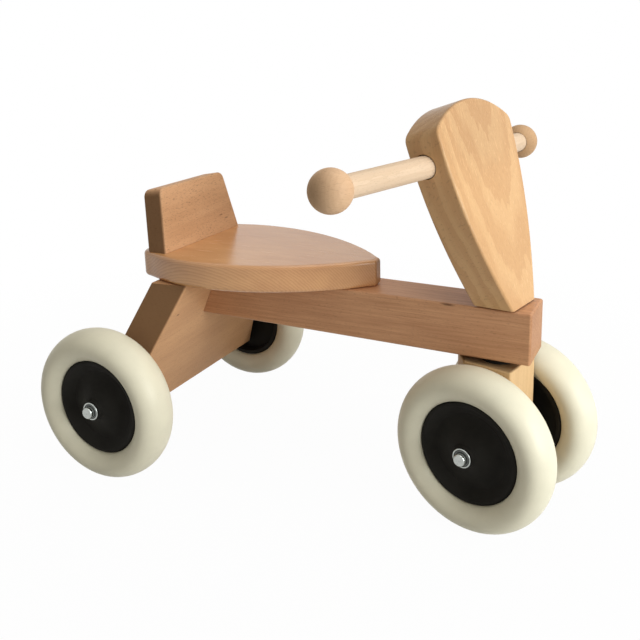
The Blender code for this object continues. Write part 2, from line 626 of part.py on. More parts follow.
hub_nose_radius = cap_flange_radius + HUB_NOSE_MARGIN
cone_radius = hub_nose_radius + HUB_BOSS_TAPER
cone_high = hub_nose - HUB_BOSS
groove_edge = rim_radius - RIM_FLAT
groove_radius = groove_edge - HUB_GROOVE_RUN
groove_low = rim_out - HUB_GROOVE
hub_profile = [(hub_bore, hub_nose), (hub_nose_radius, hub_nose)]
for i in range(4):
    u = i / 3
    radius = cone_radius + (groove_radius - cone_radius) * u
    hub_profile.append((radius, groove_low + (cone_high - groove_low) * (1 - u) ** 1.2))
hub_profile += [(groove_edge, rim_out), (rim_radius - RIM_EDGE, rim_out),
                (rim_radius, rim_out - RIM_EDGE), (rim_radius, rib_out + TOUCH),
                (rim_radius - TYRE_RIB_DEPTH, 0), (rim_radius, -rib_out - TOUCH),
                (rim_radius, RIM_EDGE - rim_out), (rim_radius - RIM_EDGE, -rim_out),
                (dish_radius + EDGE, -rim_out), (dish_radius, HUB_DISH_FLOOR),
                (hub_tail_radius + EDGE, HUB_DISH_FLOOR + EDGE), (hub_tail_radius, HUB_DISH_FLOOR),
                (hub_tail_radius, -HUB_TAIL), (hub_bore, -HUB_TAIL)]

axle_space = axle_end + TOUCH
cap_high = axle_space + CAP_END
flange_high = cap_low + CAP_FLANGE
cap_profile = [(0, cap_high), (cap_dome_radius - CAP_ROUND, cap_high),
               (cap_dome_radius - 0.3 * CAP_ROUND, cap_high - 0.3 * CAP_ROUND),
               (cap_dome_radius, cap_high - CAP_ROUND), (cap_dome_radius, flange_high),
               (cap_flange_radius, flange_high), (cap_flange_radius, cap_low), (axle_fit, cap_low),
               (axle_fit, axle_space), (0, axle_space)]

# Axles with their wheels, spacers and caps
AXLES = (("rear", rear_axle_line, rear_half_track, spot_face_out),
         ("front", front_axle_line, front_half_track, BLOCK_WIDTH / 2))
spacer_radius = axle_fit + SPACER_WALL
for end, line, half_track, wood_out in AXLES:
    half_length = half_track + axle_end
    piece(rod(end + "_axle", AXLE_RADIUS, -half_length, half_length), BRIGHT_STEEL, line, rotation=ALONG_Y)
    spacer_low = wood_out + TOUCH - half_track
    spacer_high = -HUB_TAIL - TOUCH
    spacer_profile = [(axle_fit, spacer_high), (spacer_radius, spacer_high),
                      (spacer_radius, spacer_low), (axle_fit, spacer_low)]
    for side, sign, outward in SIDES:
        start = end + "_" + side + "_"
        wheel_line = empty(start + "wheel_line", line, (0, sign * half_track, 0))
        turned(start + "tyre", tyre_profile, True, WHEEL_STEPS, CREAM_RUBBER, wheel_line, outward)
        turned(start + "hub", hub_profile, True, WHEEL_STEPS, BLACK_PLASTIC, wheel_line, outward)
        turned(start + "cap", cap_profile, False, PIN_STEPS, BRIGHT_STEEL, wheel_line, outward)
        turned(start + "spacer", spacer_profile, True, PIN_STEPS, BLACK_PLASTIC, wheel_line, outward)
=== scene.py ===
import json
import math
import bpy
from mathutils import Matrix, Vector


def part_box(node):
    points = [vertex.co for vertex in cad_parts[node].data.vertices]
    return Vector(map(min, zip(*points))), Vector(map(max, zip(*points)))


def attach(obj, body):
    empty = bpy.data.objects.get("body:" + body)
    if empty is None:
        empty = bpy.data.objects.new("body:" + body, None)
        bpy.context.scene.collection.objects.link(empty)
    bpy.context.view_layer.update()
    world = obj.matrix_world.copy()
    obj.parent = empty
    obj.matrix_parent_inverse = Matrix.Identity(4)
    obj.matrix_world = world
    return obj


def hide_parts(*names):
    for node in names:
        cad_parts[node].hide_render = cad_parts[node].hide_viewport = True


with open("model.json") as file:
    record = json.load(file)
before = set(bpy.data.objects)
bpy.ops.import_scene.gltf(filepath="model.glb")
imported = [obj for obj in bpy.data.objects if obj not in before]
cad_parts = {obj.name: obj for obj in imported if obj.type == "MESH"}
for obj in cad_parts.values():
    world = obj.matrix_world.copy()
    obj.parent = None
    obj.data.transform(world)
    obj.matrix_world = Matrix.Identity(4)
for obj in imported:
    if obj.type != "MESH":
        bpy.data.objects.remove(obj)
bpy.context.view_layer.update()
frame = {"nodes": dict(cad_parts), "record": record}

from types import SimpleNamespace

import bmesh
import bpy
from bpy.props import FloatProperty, FloatVectorProperty, PointerProperty
from mathutils import Matrix, Vector

bl_info = {
    "name": "Wooden ride-on",
    "version": (1, 0, 0),
    "blender": (4, 5, 0),
    "location": "3D View > Sidebar > Ride-on",
    "description": "Models and finishes the pieces of a wooden ride-on",
    "category": "Object",
}

# A board drawn flat stands up with its face forward
UPRIGHT = Matrix.Rotation(math.pi / 2, 4, "Z") @ Matrix.Rotation(math.pi / 2, 4, "X")
SIDES = (("right", -1), ("left", 1))

# Room between pieces: joined for good, running on an axle, round a grip in the stem and in its ball,
# and between the leg and a turning wheel
FIT = 0.0003
RUNNING_FIT = 0.00035
STEM_MOUTH = 0.0009
BALL_MOUTH = 0.0004
WHEEL_ROOM = 0.0038

# Points closer than this count as one, and edges flatter than this many degrees are shaded smooth
TINY = 1e-6
SMOOTH_BELOW = 40.0

# Scale of a wave texture with one band per metre, and the colour of old stains in the wood
WAVE = 0.31416
STAIN = (0.11, 0.05, 0.025)

# The frame that the camera was fitted to: pixels across, and the sensor's width in millimetres
FRAME_PIXELS = 640
SENSOR = 36.0


# ---- settings

def length(name, description, default):
    return FloatProperty(name=name, description=description, default=default, min=0.0, precision=5,
                         unit="LENGTH")


def angle(name, description, degrees):
    return FloatProperty(name=name, description=description, default=math.radians(degrees),
                         subtype="ANGLE")


def colour(name, description, default):
    return FloatVectorProperty(name=name, description=description, default=default, size=3,
                               min=0.0, max=1.0, subtype="COLOR")


def number(name, description, default):
    return FloatProperty(name=name, description=description, default=default)


class FrameSizes(bpy.types.PropertyGroup):
    wheelbase: length("Wheelbase", "From the rear axle to the front axle", 0.3533)
    slope: angle("Slope", "How far the beam and the seat rise towards the front", 2.06)
    beam_width: length("Beam width", "Across the beam", 0.0462)
    beam_height: length("Beam height", "From the beam's underside to its top", 0.0473)
    beam_gap: length("Beam gap", "From the front tyres' crown to the beam", 0.0007)
    beam_nose: length("Beam nose", "How far the beam reaches past the steering", 0.0328)
    beam_rim: length("Beam rim", "Rounding along the beam's edges", 0.0022)
    leg_lean: angle("Leg lean", "How far the leg leans", 22.3)
    leg_thickness: length("Leg thickness", "Through the leg", 0.0355)
    leg_ahead: length("Leg ahead", "From the rear axle to the leg's front", 0.0145)
    leg_half_width: length("Leg half width", "Half the leg's width at the axle", 0.114)
    leg_flare: number("Leg flare", "How fast the leg widens downwards", 0.327)
    leg_rim: length("Leg rim", "Rounding along the leg's edges", 0.0018)
    seat_thickness: length("Seat thickness", "Through the seat", 0.0262)
    seat_tail: length("Seat tail", "How far the seat reaches behind the rear axle", 0.004)
    tail_radius: length("Tail radius", "Rounding of the seat's rear corners", 0.012)
    tail_half_width: length("Tail half width", "Half the seat's width at its tail", 0.064)
    seat_half_width: length("Seat half width", "Half the seat's width where it is widest", 0.078)
    seat_widest: length("Seat widest", "From the rear axle to where the seat is widest", 0.07)
    seat_nose: length("Seat nose", "From the rear axle to the seat's nose", 0.2312)
    nose_half_width: length("Nose half width", "Half the width of the seat's nose", 0.0068)
    nose_radius: length("Nose radius", "Rounding of the nose's corners", 0.003)
    seat_blend: number("Seat blend", "How full the seat's curve to the nose is", 0.91)
    seat_rim: length("Seat rim", "Rounding along the seat's edges", 0.0038)
    back_lean: angle("Back lean", "How far the backrest leans back", 9.74)
    back_thickness: length("Back thickness", "Through the backrest", 0.0222)
    back_ahead: length("Back ahead", "From the rear axle to the backrest's front", 0.03)
    back_height: length("Back height", "From the seat to the top of the backrest", 0.064)
    back_half_width: length("Back half width", "Half the backrest's width at the seat", 0.0646)
    back_top_half_width: length("Back top half width", "Half the backrest's width at its top", 0.0532)
    back_corner: length("Back corner", "Rounding of the backrest's top corners", 0.0085)
    back_rim: length("Back rim", "Rounding along the backrest's edges", 0.0024)


class SteeringSizes(bpy.types.PropertyGroup):
    turn: angle("Turn", "How far the steering stands turned to the left", -12.35)
    stem_lean: angle("Stem lean", "How far the stem leans back", 17.84)
    stem_thickness: length("Stem thickness", "Through the stem", 0.0342)
    stem_ahead: length("Stem ahead", "From the steering axis to the stem's front, on the beam", 0.0234)
    foot_half_width: length("Foot half width", "Half the stem's width at the beam", 0.0206)
    stem_half_width: length("Stem half width", "Half the stem's width at its shoulders", 0.064)
    shoulder: length("Shoulder", "From the beam to the stem's shoulders", 0.166)
    top_radius: length("Top radius", "Radius of the stem's round top", 0.105)
    stem_corner: length("Stem corner", "Rounding of the stem's shoulders", 0.01)
    swell: number("Swell", "How full the stem's sides are", 1.9)
    stem_rim: length("Stem rim", "Rounding along the stem's edges", 0.0024)
    block_length: length("Block length", "Along the front block", 0.0603)
    block_behind: length("Block behind", "From the steering axis back to the block's middle", 0.0066)
    block_width: length("Block width", "Across the front block", 0.049)
    block_below: length("Block below", "How far the block reaches below the axle", 0.023)
    block_rim: length("Block rim", "Rounding along the block's edges", 0.002)
    block_chamfer: length("Block chamfer", "Cut off the block's upright rear corners", 0.014)
    stem_gap: length("Stem gap", "From the beam to the stem, with its washer", 0.0014)
    block_gap: length("Block gap", "From the block to the beam, with its washers", 0.0055)
    grip_radius: length("Grip radius", "Half the thickness of a grip", 0.0098)
    grip_sweep: angle("Grip sweep", "How far the grips sweep back", 12.3)
    grip_droop: angle("Grip droop", "How far the grips hang down", 3.4)
    grip_up: length("Grip height", "From the beam up the stem to the grips", 0.1394)
    grip_behind: length("Grip behind", "From the stem's middle back to the grips", 0.005)
    grip_in_stem: length("Grip in stem", "How far a grip reaches into the stem", 0.038)
    grip_in_ball: length("Grip in ball", "How far a grip reaches into its ball", 0.011)
    ball_radius: length("Ball radius", "Half the thickness of a ball", 0.0177)
    ball_out: length("Ball out", "From the middle of the stem to a ball's middle", 0.1587)


class WheelSizes(bpy.types.PropertyGroup):
    radius: length("Radius", "Half the wheel's height", 0.075)
    half_width: length("Half width", "Half the tyre's width", 0.02)
    section: length("Section", "Half the height of the tyre's oval section", 0.0152)
    bead_turn: angle("Bead turn", "Where the oval meets the rim", 54.0)
    rib_width: length("Rib width", "Width of the rib that holds the tyre on the rim", 0.008)
    rib_depth: length("Rib depth", "Depth of that rib", 0.0026)
    rim_inset: length("Rim inset", "How far the rim lies inside the tyre's bead", 0.0004)
    rim_edge: length("Rim edge", "Rounding of the rim's edge", 0.0012)
    rim_flat: length("Rim flat", "Width of the flat ring round the hub", 0.0037)
    rim_wall: length("Rim wall", "Wall of the dish behind the hub", 0.006)
    groove_run: length("Groove run", "Width of the slope from the flat ring to the groove", 0.009)
    groove: length("Groove", "Depth of the groove round the hub's cone", 0.0069)
    nose_rise: length("Nose rise", "From the flat ring out to the hub's nose", 0.0076)
    boss: length("Boss", "Height of the boss on the hub's cone", 0.004)
    boss_taper: length("Boss taper", "How far the boss widens to the cone", 0.0007)
    nose_margin: length("Nose margin", "From the cap's flange to the edge of the hub's nose", 0.001)
    dish_floor: length("Dish floor", "Where the dish behind the hub ends", 0.0005)
    tail_wall: length("Tail wall", "Wall of the hub's tail", 0.0042)
    tail: length("Tail", "How far the hub's tail reaches back", 0.011)
    axle_radius: length("Axle radius", "Half the thickness of an axle", 0.004)
    axle_beyond: length("Axle beyond", "How far an axle reaches past the hub", 0.0053)
    cap_wall: length("Cap wall", "Wall of an axle cap", 0.0015)
    cap_end: length("Cap end", "End wall of an axle cap", 0.0019)
    cap_flange_width: length("Cap flange width", "Width of an axle cap's flange", 0.0031)
    cap_flange: length("Cap flange", "Thickness of an axle cap's flange", 0.0016)
    front_half_track: length("Front half track", "From the middle to a front wheel", 0.0456)
    rear_half_track: length("Rear half track", "From the middle to a rear wheel", 0.12817)


class Finishes(bpy.types.PropertyGroup):
    seat_light: colour("Seat light", "Early wood of the seat", (0.70, 0.38, 0.165))
    seat_dark: colour("Seat dark", "Late wood of the seat", (0.505, 0.24, 0.10))
    back_light: colour("Back light", "Early wood of the backrest", (0.68, 0.395, 0.215))
    back_dark: colour("Back dark", "Late wood of the backrest", (0.515, 0.275, 0.135))
    leg_light: colour("Leg light", "Early wood of the leg", (0.62, 0.355, 0.178))
    leg_dark: colour("Leg dark", "Late wood of the leg", (0.475, 0.255, 0.125))
    beam_light: colour("Beam light", "Early wood of the beam", (0.66, 0.36, 0.19))
    beam_dark: colour("Beam dark", "Late wood of the beam", (0.46, 0.225, 0.11))
    stem_light: colour("Stem light", "Early wood of the stem", (0.66, 0.41, 0.20))
    stem_dark: colour("Stem dark", "Late wood of the stem", (0.55, 0.31, 0.14))
    block_light: colour("Block light", "Early wood of the front block", (0.69, 0.475, 0.25))
    block_dark: colour("Block dark", "Late wood of the front block", (0.58, 0.365, 0.18))
    grip_light: colour("Grip light", "Early wood of the grips", (0.72, 0.55, 0.39))
    grip_dark: colour("Grip dark", "Late wood of the grips", (0.62, 0.45, 0.30))
    right_ball_light: colour("Right ball light", "Early wood of the right ball", (0.67, 0.45, 0.275))
    right_ball_dark: colour("Right ball dark", "Late wood of the right ball", (0.54, 0.33, 0.19))
    # The left ball's colours are darker than the right ball's: painted shade on the far ball beside the
    # stem.
    left_ball_light: colour("Left ball light", "Early wood of the left ball", (0.56, 0.36, 0.20))
    left_ball_dark: colour("Left ball dark", "Late wood of the left ball", (0.44, 0.26, 0.135))
    rubber: colour("Rubber", "Cream of the tyres", (0.765, 0.725, 0.56))
    plastic: colour("Plastic", "Black of the hubs", (0.023, 0.0215, 0.0185))
    zinc: colour("Zinc", "Bright zinc of the axle caps and steel", (0.45, 0.47, 0.445))


class StageSettings(bpy.types.PropertyGroup):
    focal: number("Focal length", "Focal length in pixels of a 640 pixel frame", 755.3)
    middle_x: number("Middle x", "Pixel across at which the lens points", 342.7)
    middle_y: number("Middle y", "Pixel down at which the lens points", 207.25)
    place: FloatVectorProperty(name="Camera place", description="Where the camera stands", size=3,
                               default=(0.32285, -0.6308, 0.4338), subtype="XYZ", unit="LENGTH")
    yaw: angle("Yaw", "Direction of the camera, from forwards to the left", 116.0)
    pitch: angle("Pitch", "How far the camera looks down", 13.47)
    roll: angle("Roll", "How far the camera is tipped", -0.67)
    key: number("Key light", "Power of the large lamp in front", 19.0)
    top: number("Top light", "Power of the lamp above", 7.0)
    room: number("Room light", "Strength of the light from above", 0.31)


class RideOn(bpy.types.PropertyGroup):
    frame: PointerProperty(type=FrameSizes, name="Frame", description="Sizes of the frame")
    steering: PointerProperty(type=SteeringSizes, name="Steering", description="Sizes of the steering")
    wheels: PointerProperty(type=WheelSizes, name="Wheels", description="Sizes of the wheels")
    finishes: PointerProperty(type=Finishes, name="Finishes", description="Colours of the finishes")
    stage: PointerProperty(type=StageSettings, name="Stage", description="Camera and lamps")


def settings():
    return bpy.context.scene.ride_on


# ---- places

def layout():
    """Places of the pieces in the frame, worked out from the settings."""
    size, steer, wheel = settings().frame, settings().steering, settings().wheels
    g = SimpleNamespace()
    g.axle_to_top = (wheel.radius + size.beam_gap) * math.cos(size.slope) + size.beam_height
    g.beam_over_axle = g.axle_to_top / math.cos(size.slope) - size.wheelbase * math.tan(size.slope)
    g.axis_ahead = size.wheelbase * math.cos(size.slope) - g.beam_over_axle * math.sin(size.slope)
    tilt = Matrix.Rotation(-size.slope, 4, "Y")
    g.rear_axle = Matrix.Translation((-size.wheelbase / 2, 0, wheel.radius))
    front = Matrix.Translation((size.wheelbase / 2, 0, wheel.radius))
    g.beam = g.rear_axle @ Matrix.Translation((0, 0, g.beam_over_axle)) @ tilt
    g.steering = front @ tilt @ Matrix.Rotation(steer.turn, 4, "Z")
    g.front_axle = front @ Matrix.Rotation(steer.turn, 4, "Z")
    g.leg = (g.rear_axle @ Matrix.Translation((size.leg_ahead, 0, 0))
             @ Matrix.Rotation(size.leg_lean, 4, "Y"))
    g.seat_top = FIT / 2 + size.seat_thickness
    g.back = (g.beam @ Matrix.Translation((size.back_ahead, 0, g.seat_top + FIT / 3))
              @ Matrix.Rotation(-size.back_lean, 4, "Y"))
    g.stem = (g.steering @ Matrix.Translation((steer.stem_ahead, 0, g.axle_to_top))
              @ Matrix.Rotation(-steer.stem_lean, 4, "Y"))
    return g


def wheel_places():
    """Each wheel's name, its end of the frame and its place, with its outer side along local Z."""
    g, wheel = layout(), settings().wheels
    found = []
    for end, line, track in (("rear", g.rear_axle, wheel.rear_half_track),
                             ("front", g.front_axle, wheel.front_half_track)):
        for side, sign in SIDES:
            place = line @ Matrix.Translation((0, sign * track, 0))
            place = place @ Matrix.Rotation(-sign * math.pi / 2, 4, "X")
            found.append((end + "_" + side, end, place))
    return found


def wheel_shape():
    """Radii and heights of one wheel, from its middle outwards."""
    wheel = settings().wheels
    w = SimpleNamespace()
    w.middle = wheel.radius - wheel.section
    w.bead = w.middle - wheel.section * math.sin(wheel.bead_turn)
    w.rim = w.bead - FIT
    w.rim_out = wheel.half_width * math.cos(wheel.bead_turn) - wheel.rim_inset
    w.dish = w.rim - wheel.rim_wall
    w.bore = wheel.axle_radius + RUNNING_FIT
    w.tail = w.bore + wheel.tail_wall
    w.nose = w.rim_out + wheel.nose_rise
    w.fit = wheel.axle_radius + FIT
    w.cap_dome = w.fit + wheel.cap_wall
    w.flange = w.cap_dome + wheel.cap_flange_width
    w.cap_low = w.nose + FIT
    w.axle_end = w.nose + wheel.axle_beyond + FIT
    w.rib = wheel.rib_width / 2
    return w


def stem_half_width(up):
    """Half the stem's width at a height above the beam."""
    steer = settings().steering
    swell = 1 - max(0, 1 - up / steer.shoulder) ** steer.swell
    return steer.foot_half_width + (steer.stem_half_width - steer.foot_half_width) * swell


def grip_places():
    """Each grip's side, its place with local Z outwards from the stem, and its length to the ball."""
    g, steer = layout(), settings().steering
    lean = Matrix.Rotation(-steer.stem_lean, 3, "Y")
    root = (Vector((steer.stem_ahead, 0, g.axle_to_top)) + lean.col[2] * steer.grip_up
            - lean.col[0] * (steer.stem_thickness / 2 + steer.grip_behind))
    out = stem_half_width(steer.grip_up)
    found = []
    for side, sign in SIDES:
        away = Vector((-math.tan(steer.grip_sweep), sign, -math.tan(steer.grip_droop)))
        place = (g.steering @ Matrix.Translation(root + Vector((0, sign * out, 0)))
                 @ away.to_track_quat("Z", "Y").to_matrix().to_4x4())
        found.append((side, place, (steer.ball_out - out) * away.length))
    return found


def arc(x, y, radius, start, end, count):
    """Points on an arc, from one angle in degrees to another."""
    turns = [math.radians(start + (end - start) * i / (count - 1)) for i in range(count)]
    return [(x + radius * math.cos(turn), y + radius * math.sin(turn)) for turn in turns]


def softened(profile, radius, steps=3):
    """Round the sharp corners of a closed profile, over at most a part of each side."""
    out = []
    blunt, part = math.radians(150), 0.4
    for i, point in enumerate(profile):
        here = Vector(point)
        before = Vector(profile[i - 1]) - here
        after = Vector(profile[(i + 1) % len(profile)]) - here
        if before.angle(after) > blunt:
            out.append(point)
            continue
        reach = min(radius, part * before.length, part * after.length)
        a, b = here + before.normalized() * reach, here + after.normalized() * reach
        for k in range(steps + 1):
            t = k / steps
            out.append(tuple((1 - t) ** 2 * a + 2 * t * (1 - t) * here + t * t * b))
    return out


# ---- modelling

def put_down():
    """Leave edit mode with nothing selected."""
    if bpy.context.object and bpy.context.object.mode != "OBJECT":
        bpy.ops.object.mode_set(mode="OBJECT")
    bpy.ops.object.select_all(action="DESELECT")


def take_up(made):
    """Select one piece and make it the active one."""
    put_down()
    made.select_set(True)
    bpy.context.view_layer.objects.active = made


def named(name):
    """Name what was just added."""
    made = bpy.context.object
    made.name = made.data.name = name
    return made


def choose_all():
    bpy.ops.mesh.select_all(action="SELECT")


def start(name):
    """Name the new shape and open it for editing, all selected."""
    made = named(name)
    bpy.ops.object.mode_set(mode="EDIT")
    bpy.ops.mesh.select_mode(type="VERT")
    choose_all()
    return made


def draw(name, points):
    """Draw a line of points, one corner extruded after another."""
    put_down()
    points = [Vector(point) for point in points]
    bpy.ops.mesh.primitive_plane_add(size=0.01)
    made = start(name)
    bpy.ops.mesh.merge(type="CENTER")
    bpy.ops.transform.translate(value=points[0])
    for here, there in zip(points, points[1:]):
        bpy.ops.mesh.extrude_vertices_move(TRANSFORM_OT_translate={"value": there - here})
    choose_all()
    return made


def choose_edges(made, wanted):
    """Select the edges that pass a test."""
    bpy.ops.mesh.select_mode(type="EDGE")
    bpy.ops.mesh.select_all(action="DESELECT")
    shape = bmesh.from_edit_mesh(made.data)
    shape.normal_update()
    for edge in shape.edges:
        if wanted(edge):
            edge.select_set(True)
    bmesh.update_edit_mesh(made.data)


def face_out():
    """Turn all faces outwards."""
    choose_all()
    bpy.ops.mesh.normals_make_consistent(inside=False)


def is_level(face):
    return abs(face.normal.z) > 0.9


def round_off(width, steps=5):
    """Round the selected edges."""
    bpy.ops.mesh.bevel(offset=width, segments=steps, profile=0.5, affect="EDGES")


def board(name, outline, thickness, rim, steps=5):
    """A board with the outline in XY and its thickness along Z, with rounded rims."""
    made = draw(name, [(x, y, -thickness / 2) for x, y in outline])
    bpy.ops.mesh.edge_face_add()
    bpy.ops.mesh.extrude_region_move(TRANSFORM_OT_translate={"value": (0, 0, thickness)})
    face_out()
    choose_edges(made, lambda edge: [is_level(face) for face in edge.link_faces].count(True) == 1)
    round_off(rim, steps)
    return made


def upright_board(name, half, thickness, rim, place):
    """A board that stands at a place with its face forward, from one half of its outline."""
    outline = half + [(-x, y) for x, y in reversed(half) if x > 0]
    made = board(name, outline, thickness, rim)
    settle(made, place @ Matrix.Translation((-thickness / 2, 0, 0)) @ UPRIGHT)
    return made


def block(name, low, high, rim, chamfer=0.0):
    """A squared block with rounded edges, and any chamfers at its upright rear corners."""
    put_down()
    low, high = Vector(low), Vector(high)
    bpy.ops.mesh.primitive_cube_add(size=1.0)
    made = start(name)
    bpy.ops.transform.resize(value=high - low)
    bpy.ops.transform.translate(value=(low + high) / 2)
    if chamfer:
        choose_edges(made, lambda edge: all(vert.co.x < low.x + TINY for vert in edge.verts)
                     and abs(edge.verts[0].co.y - edge.verts[1].co.y) < TINY)
        bpy.ops.mesh.bevel(offset=chamfer, segments=1, affect="EDGES")
        choose_all()
    round_off(rim)
    return made


def cut_off(made, point, normal):
    """Saw off what lies beyond a plane, and close the end."""
    take_up(made)
    bpy.ops.object.mode_set(mode="EDIT")
    choose_all()
    bpy.ops.mesh.bisect(plane_co=point, plane_no=normal, use_fill=True, clear_outer=True)
    face_out()
    bpy.ops.object.mode_set(mode="OBJECT")


def turned(name, profile, steps, closed=True):
    """Turn a profile of (radius, height) points about Z."""
    points = [Vector((radius, 0, height)) for radius, height in profile]
    made = draw(name, points)
    if closed:
        bpy.ops.mesh.select_all(action="DESELECT")
        shape = bmesh.from_edit_mesh(made.data)
        for vert in shape.verts:
            if min((vert.co - end).length for end in (points[0], points[-1])) < TINY:
                vert.select_set(True)
        bmesh.update_edit_mesh(made.data)
        bpy.ops.mesh.edge_face_add()
        choose_all()
    bpy.ops.mesh.spin(steps=steps, angle=math.tau, center=(0, 0, 0), axis=(0, 0, 1))
    choose_all()
    bpy.ops.mesh.remove_doubles(threshold=TINY)
    face_out()
    return made


def bore(made, place, radius, low, high):
    """Bore a round hole along a place's Z."""
    put_down()
    bpy.ops.mesh.primitive_cylinder_add(vertices=64, radius=radius, depth=high - low,
                                        location=(0, 0, 0))
    drill = bpy.context.object
    drill.matrix_world = place @ Matrix.Translation((0, 0, (low + high) / 2))
    take_up(made)
    bpy.ops.object.modifier_add(type="BOOLEAN")
    step = made.modifiers[-1]
    step.operation = "DIFFERENCE"
    step.solver = "EXACT"
    step.object = drill
    bpy.ops.object.modifier_apply(modifier=step.name)
    bpy.data.meshes.remove(drill.data)


def copy_of(made, name):
    """Copy a piece, with a mesh of its own."""
    take_up(made)
    bpy.ops.object.duplicate(linked=False)
    return named(name)


def settle(made, place):
    """Put a piece in its place and keep the place in its mesh."""
    take_up(made)
    made.matrix_world = place
    bpy.ops.object.transform_apply(location=True, rotation=True, scale=True)


def finish(made, body, solid, material, smooth_below=SMOOTH_BELOW):
    """Smooth a piece, give it its finish, and let it stand for its solid."""
    take_up(made)
    if not made.data.polygons:
        raise RuntimeError(made.name + " has no faces")
    bpy.ops.object.shade_smooth_by_angle(angle=math.radians(smooth_below))
    bpy.ops.object.modifier_add(type="WEIGHTED_NORMAL")
    made.modifiers[-1].keep_sharp = True
    bpy.ops.object.modifier_apply(modifier=made.modifiers[-1].name)
    made.data.materials.clear()
    made.data.materials.append(material)
    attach(made, body)
    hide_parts(solid)


def on_wheels(first, shape, solid, new_material, bodies=None, smooth_below=SMOOTH_BELOW):
    """Copy a turned piece to the four wheels and finish each copy, which rides its wheel or a body."""
    put_down()
    for name, end, place in wheel_places():
        made = copy_of(first, name + shape)
        settle(made, place)
        body = bodies[end] if bodies else "wheel_" + name
        finish(made, body, name + solid, new_material(name, place), smooth_below)
    bpy.data.meshes.remove(first.data)


# ---- finishes

def node(tree, kind, sockets, **choices):
    """Add a shader node, set its choices, and set or link its sockets."""
    made = tree.nodes.new("ShaderNode" + kind)
    for name, value in choices.items():
        setattr(made, name, value)
    for name, value in sockets.items():
        if isinstance(value, bpy.types.NodeSocket):
            tree.links.new(value, made.inputs[name])
        else:
            made.inputs[name].default_value = value
    return made


def new_finish(name, roughness, metallic=0.0, specular=0.5):
    """A new material, with its nodes and its shader."""
    made = bpy.data.materials.new(name)
    made.use_nodes = True
    shader = made.node_tree.nodes["Principled BSDF"]
    shader.inputs["Roughness"].default_value = roughness
    shader.inputs["Metallic"].default_value = metallic
    shader.inputs["Specular IOR Level"].default_value = specular
    return made, made.node_tree, shader


def dress(tree, shader, base, rough, height, strength, distance):
    """Link a finish's colour, roughness and bump to its shader."""
    bump = node(tree, "Bump", {"Height": height, "Strength": strength, "Distance": distance})
    for name, value in (("Base Color", base), ("Roughness", rough), ("Normal", bump.outputs["Normal"])):
        tree.links.new(value, shader.inputs[name])


def laid_along(tree, place, coordinates=None):
    """Coordinates in the axes of a place in the frame."""
    back = place.inverted()
    coordinates = coordinates or node(tree, "TexCoord", {})
    return node(tree, "Mapping", {"Vector": coordinates.outputs["Object"],
                                  "Location": back.to_translation(),
                                  "Rotation": back.to_euler()}, vector_type="POINT").outputs["Vector"]


def vectors(tree, operation, first, second=(0, 0, 0)):
    made = node(tree, "VectorMath", {0: first, 1: second}, operation=operation)
    return made.outputs["Value" if operation in ("LENGTH", "DOT_PRODUCT") else "Vector"]


def stretched(tree, vector, scales):
    return vectors(tree, "MULTIPLY", vector, scales)


def noise(tree, vector, scale, detail=2.0, roughness=0.5):
    return node(tree, "TexNoise", {"Vector": vector, "Scale": scale, "Detail": detail,
                                   "Roughness": roughness}).outputs["Fac"]


def spread(tree, value, low, high, to_low=0.0, to_high=1.0):
    return node(tree, "MapRange", {"Value": value, "From Min": low, "From Max": high,
                                   "To Min": to_low, "To Max": to_high}).outputs["Result"]


def evened(tree, value, to_low=0.0, to_high=1.0):
    """Spread the range in which most of a noise lies."""
    return spread(tree, value, 0.3, 0.7, to_low, to_high)


def sums(tree, operation, first, second):
    return node(tree, "Math", {0: first, 1: second}, operation=operation).outputs["Value"]


def tinted(tree, share_of, first, second):
    """Mix two colours; a mix node has its colours in the seventh and eighth sockets."""
    made = node(tree, "Mix", {}, data_type="RGBA", blend_type="MIX")
    for index, value in ((0, share_of), (6, first), (7, second)):
        if isinstance(value, bpy.types.NodeSocket):
            tree.links.new(value, made.inputs[index])
        else:
            made.inputs[index].default_value = value if index == 0 else (*value[:3], 1.0)
    return made.outputs[2]


def shade(tone, share_of):
    return tuple(min(1.0, share_of * part) for part in tone)


def waves(tree, vector, spacing, sockets, **choices):
    return node(tree, "TexWave", {"Vector": vector, "Scale": WAVE / spacing, **sockets},
                **choices).outputs["Fac"]


def year_rings(tree, vector, spacing):
    return waves(tree, vector, spacing, {"Distortion": 4.0, "Detail": 2.0, "Detail Scale": 0.35,
                                         "Detail Roughness": 0.5},
                 wave_type="RINGS", rings_direction="X", wave_profile="SAW")


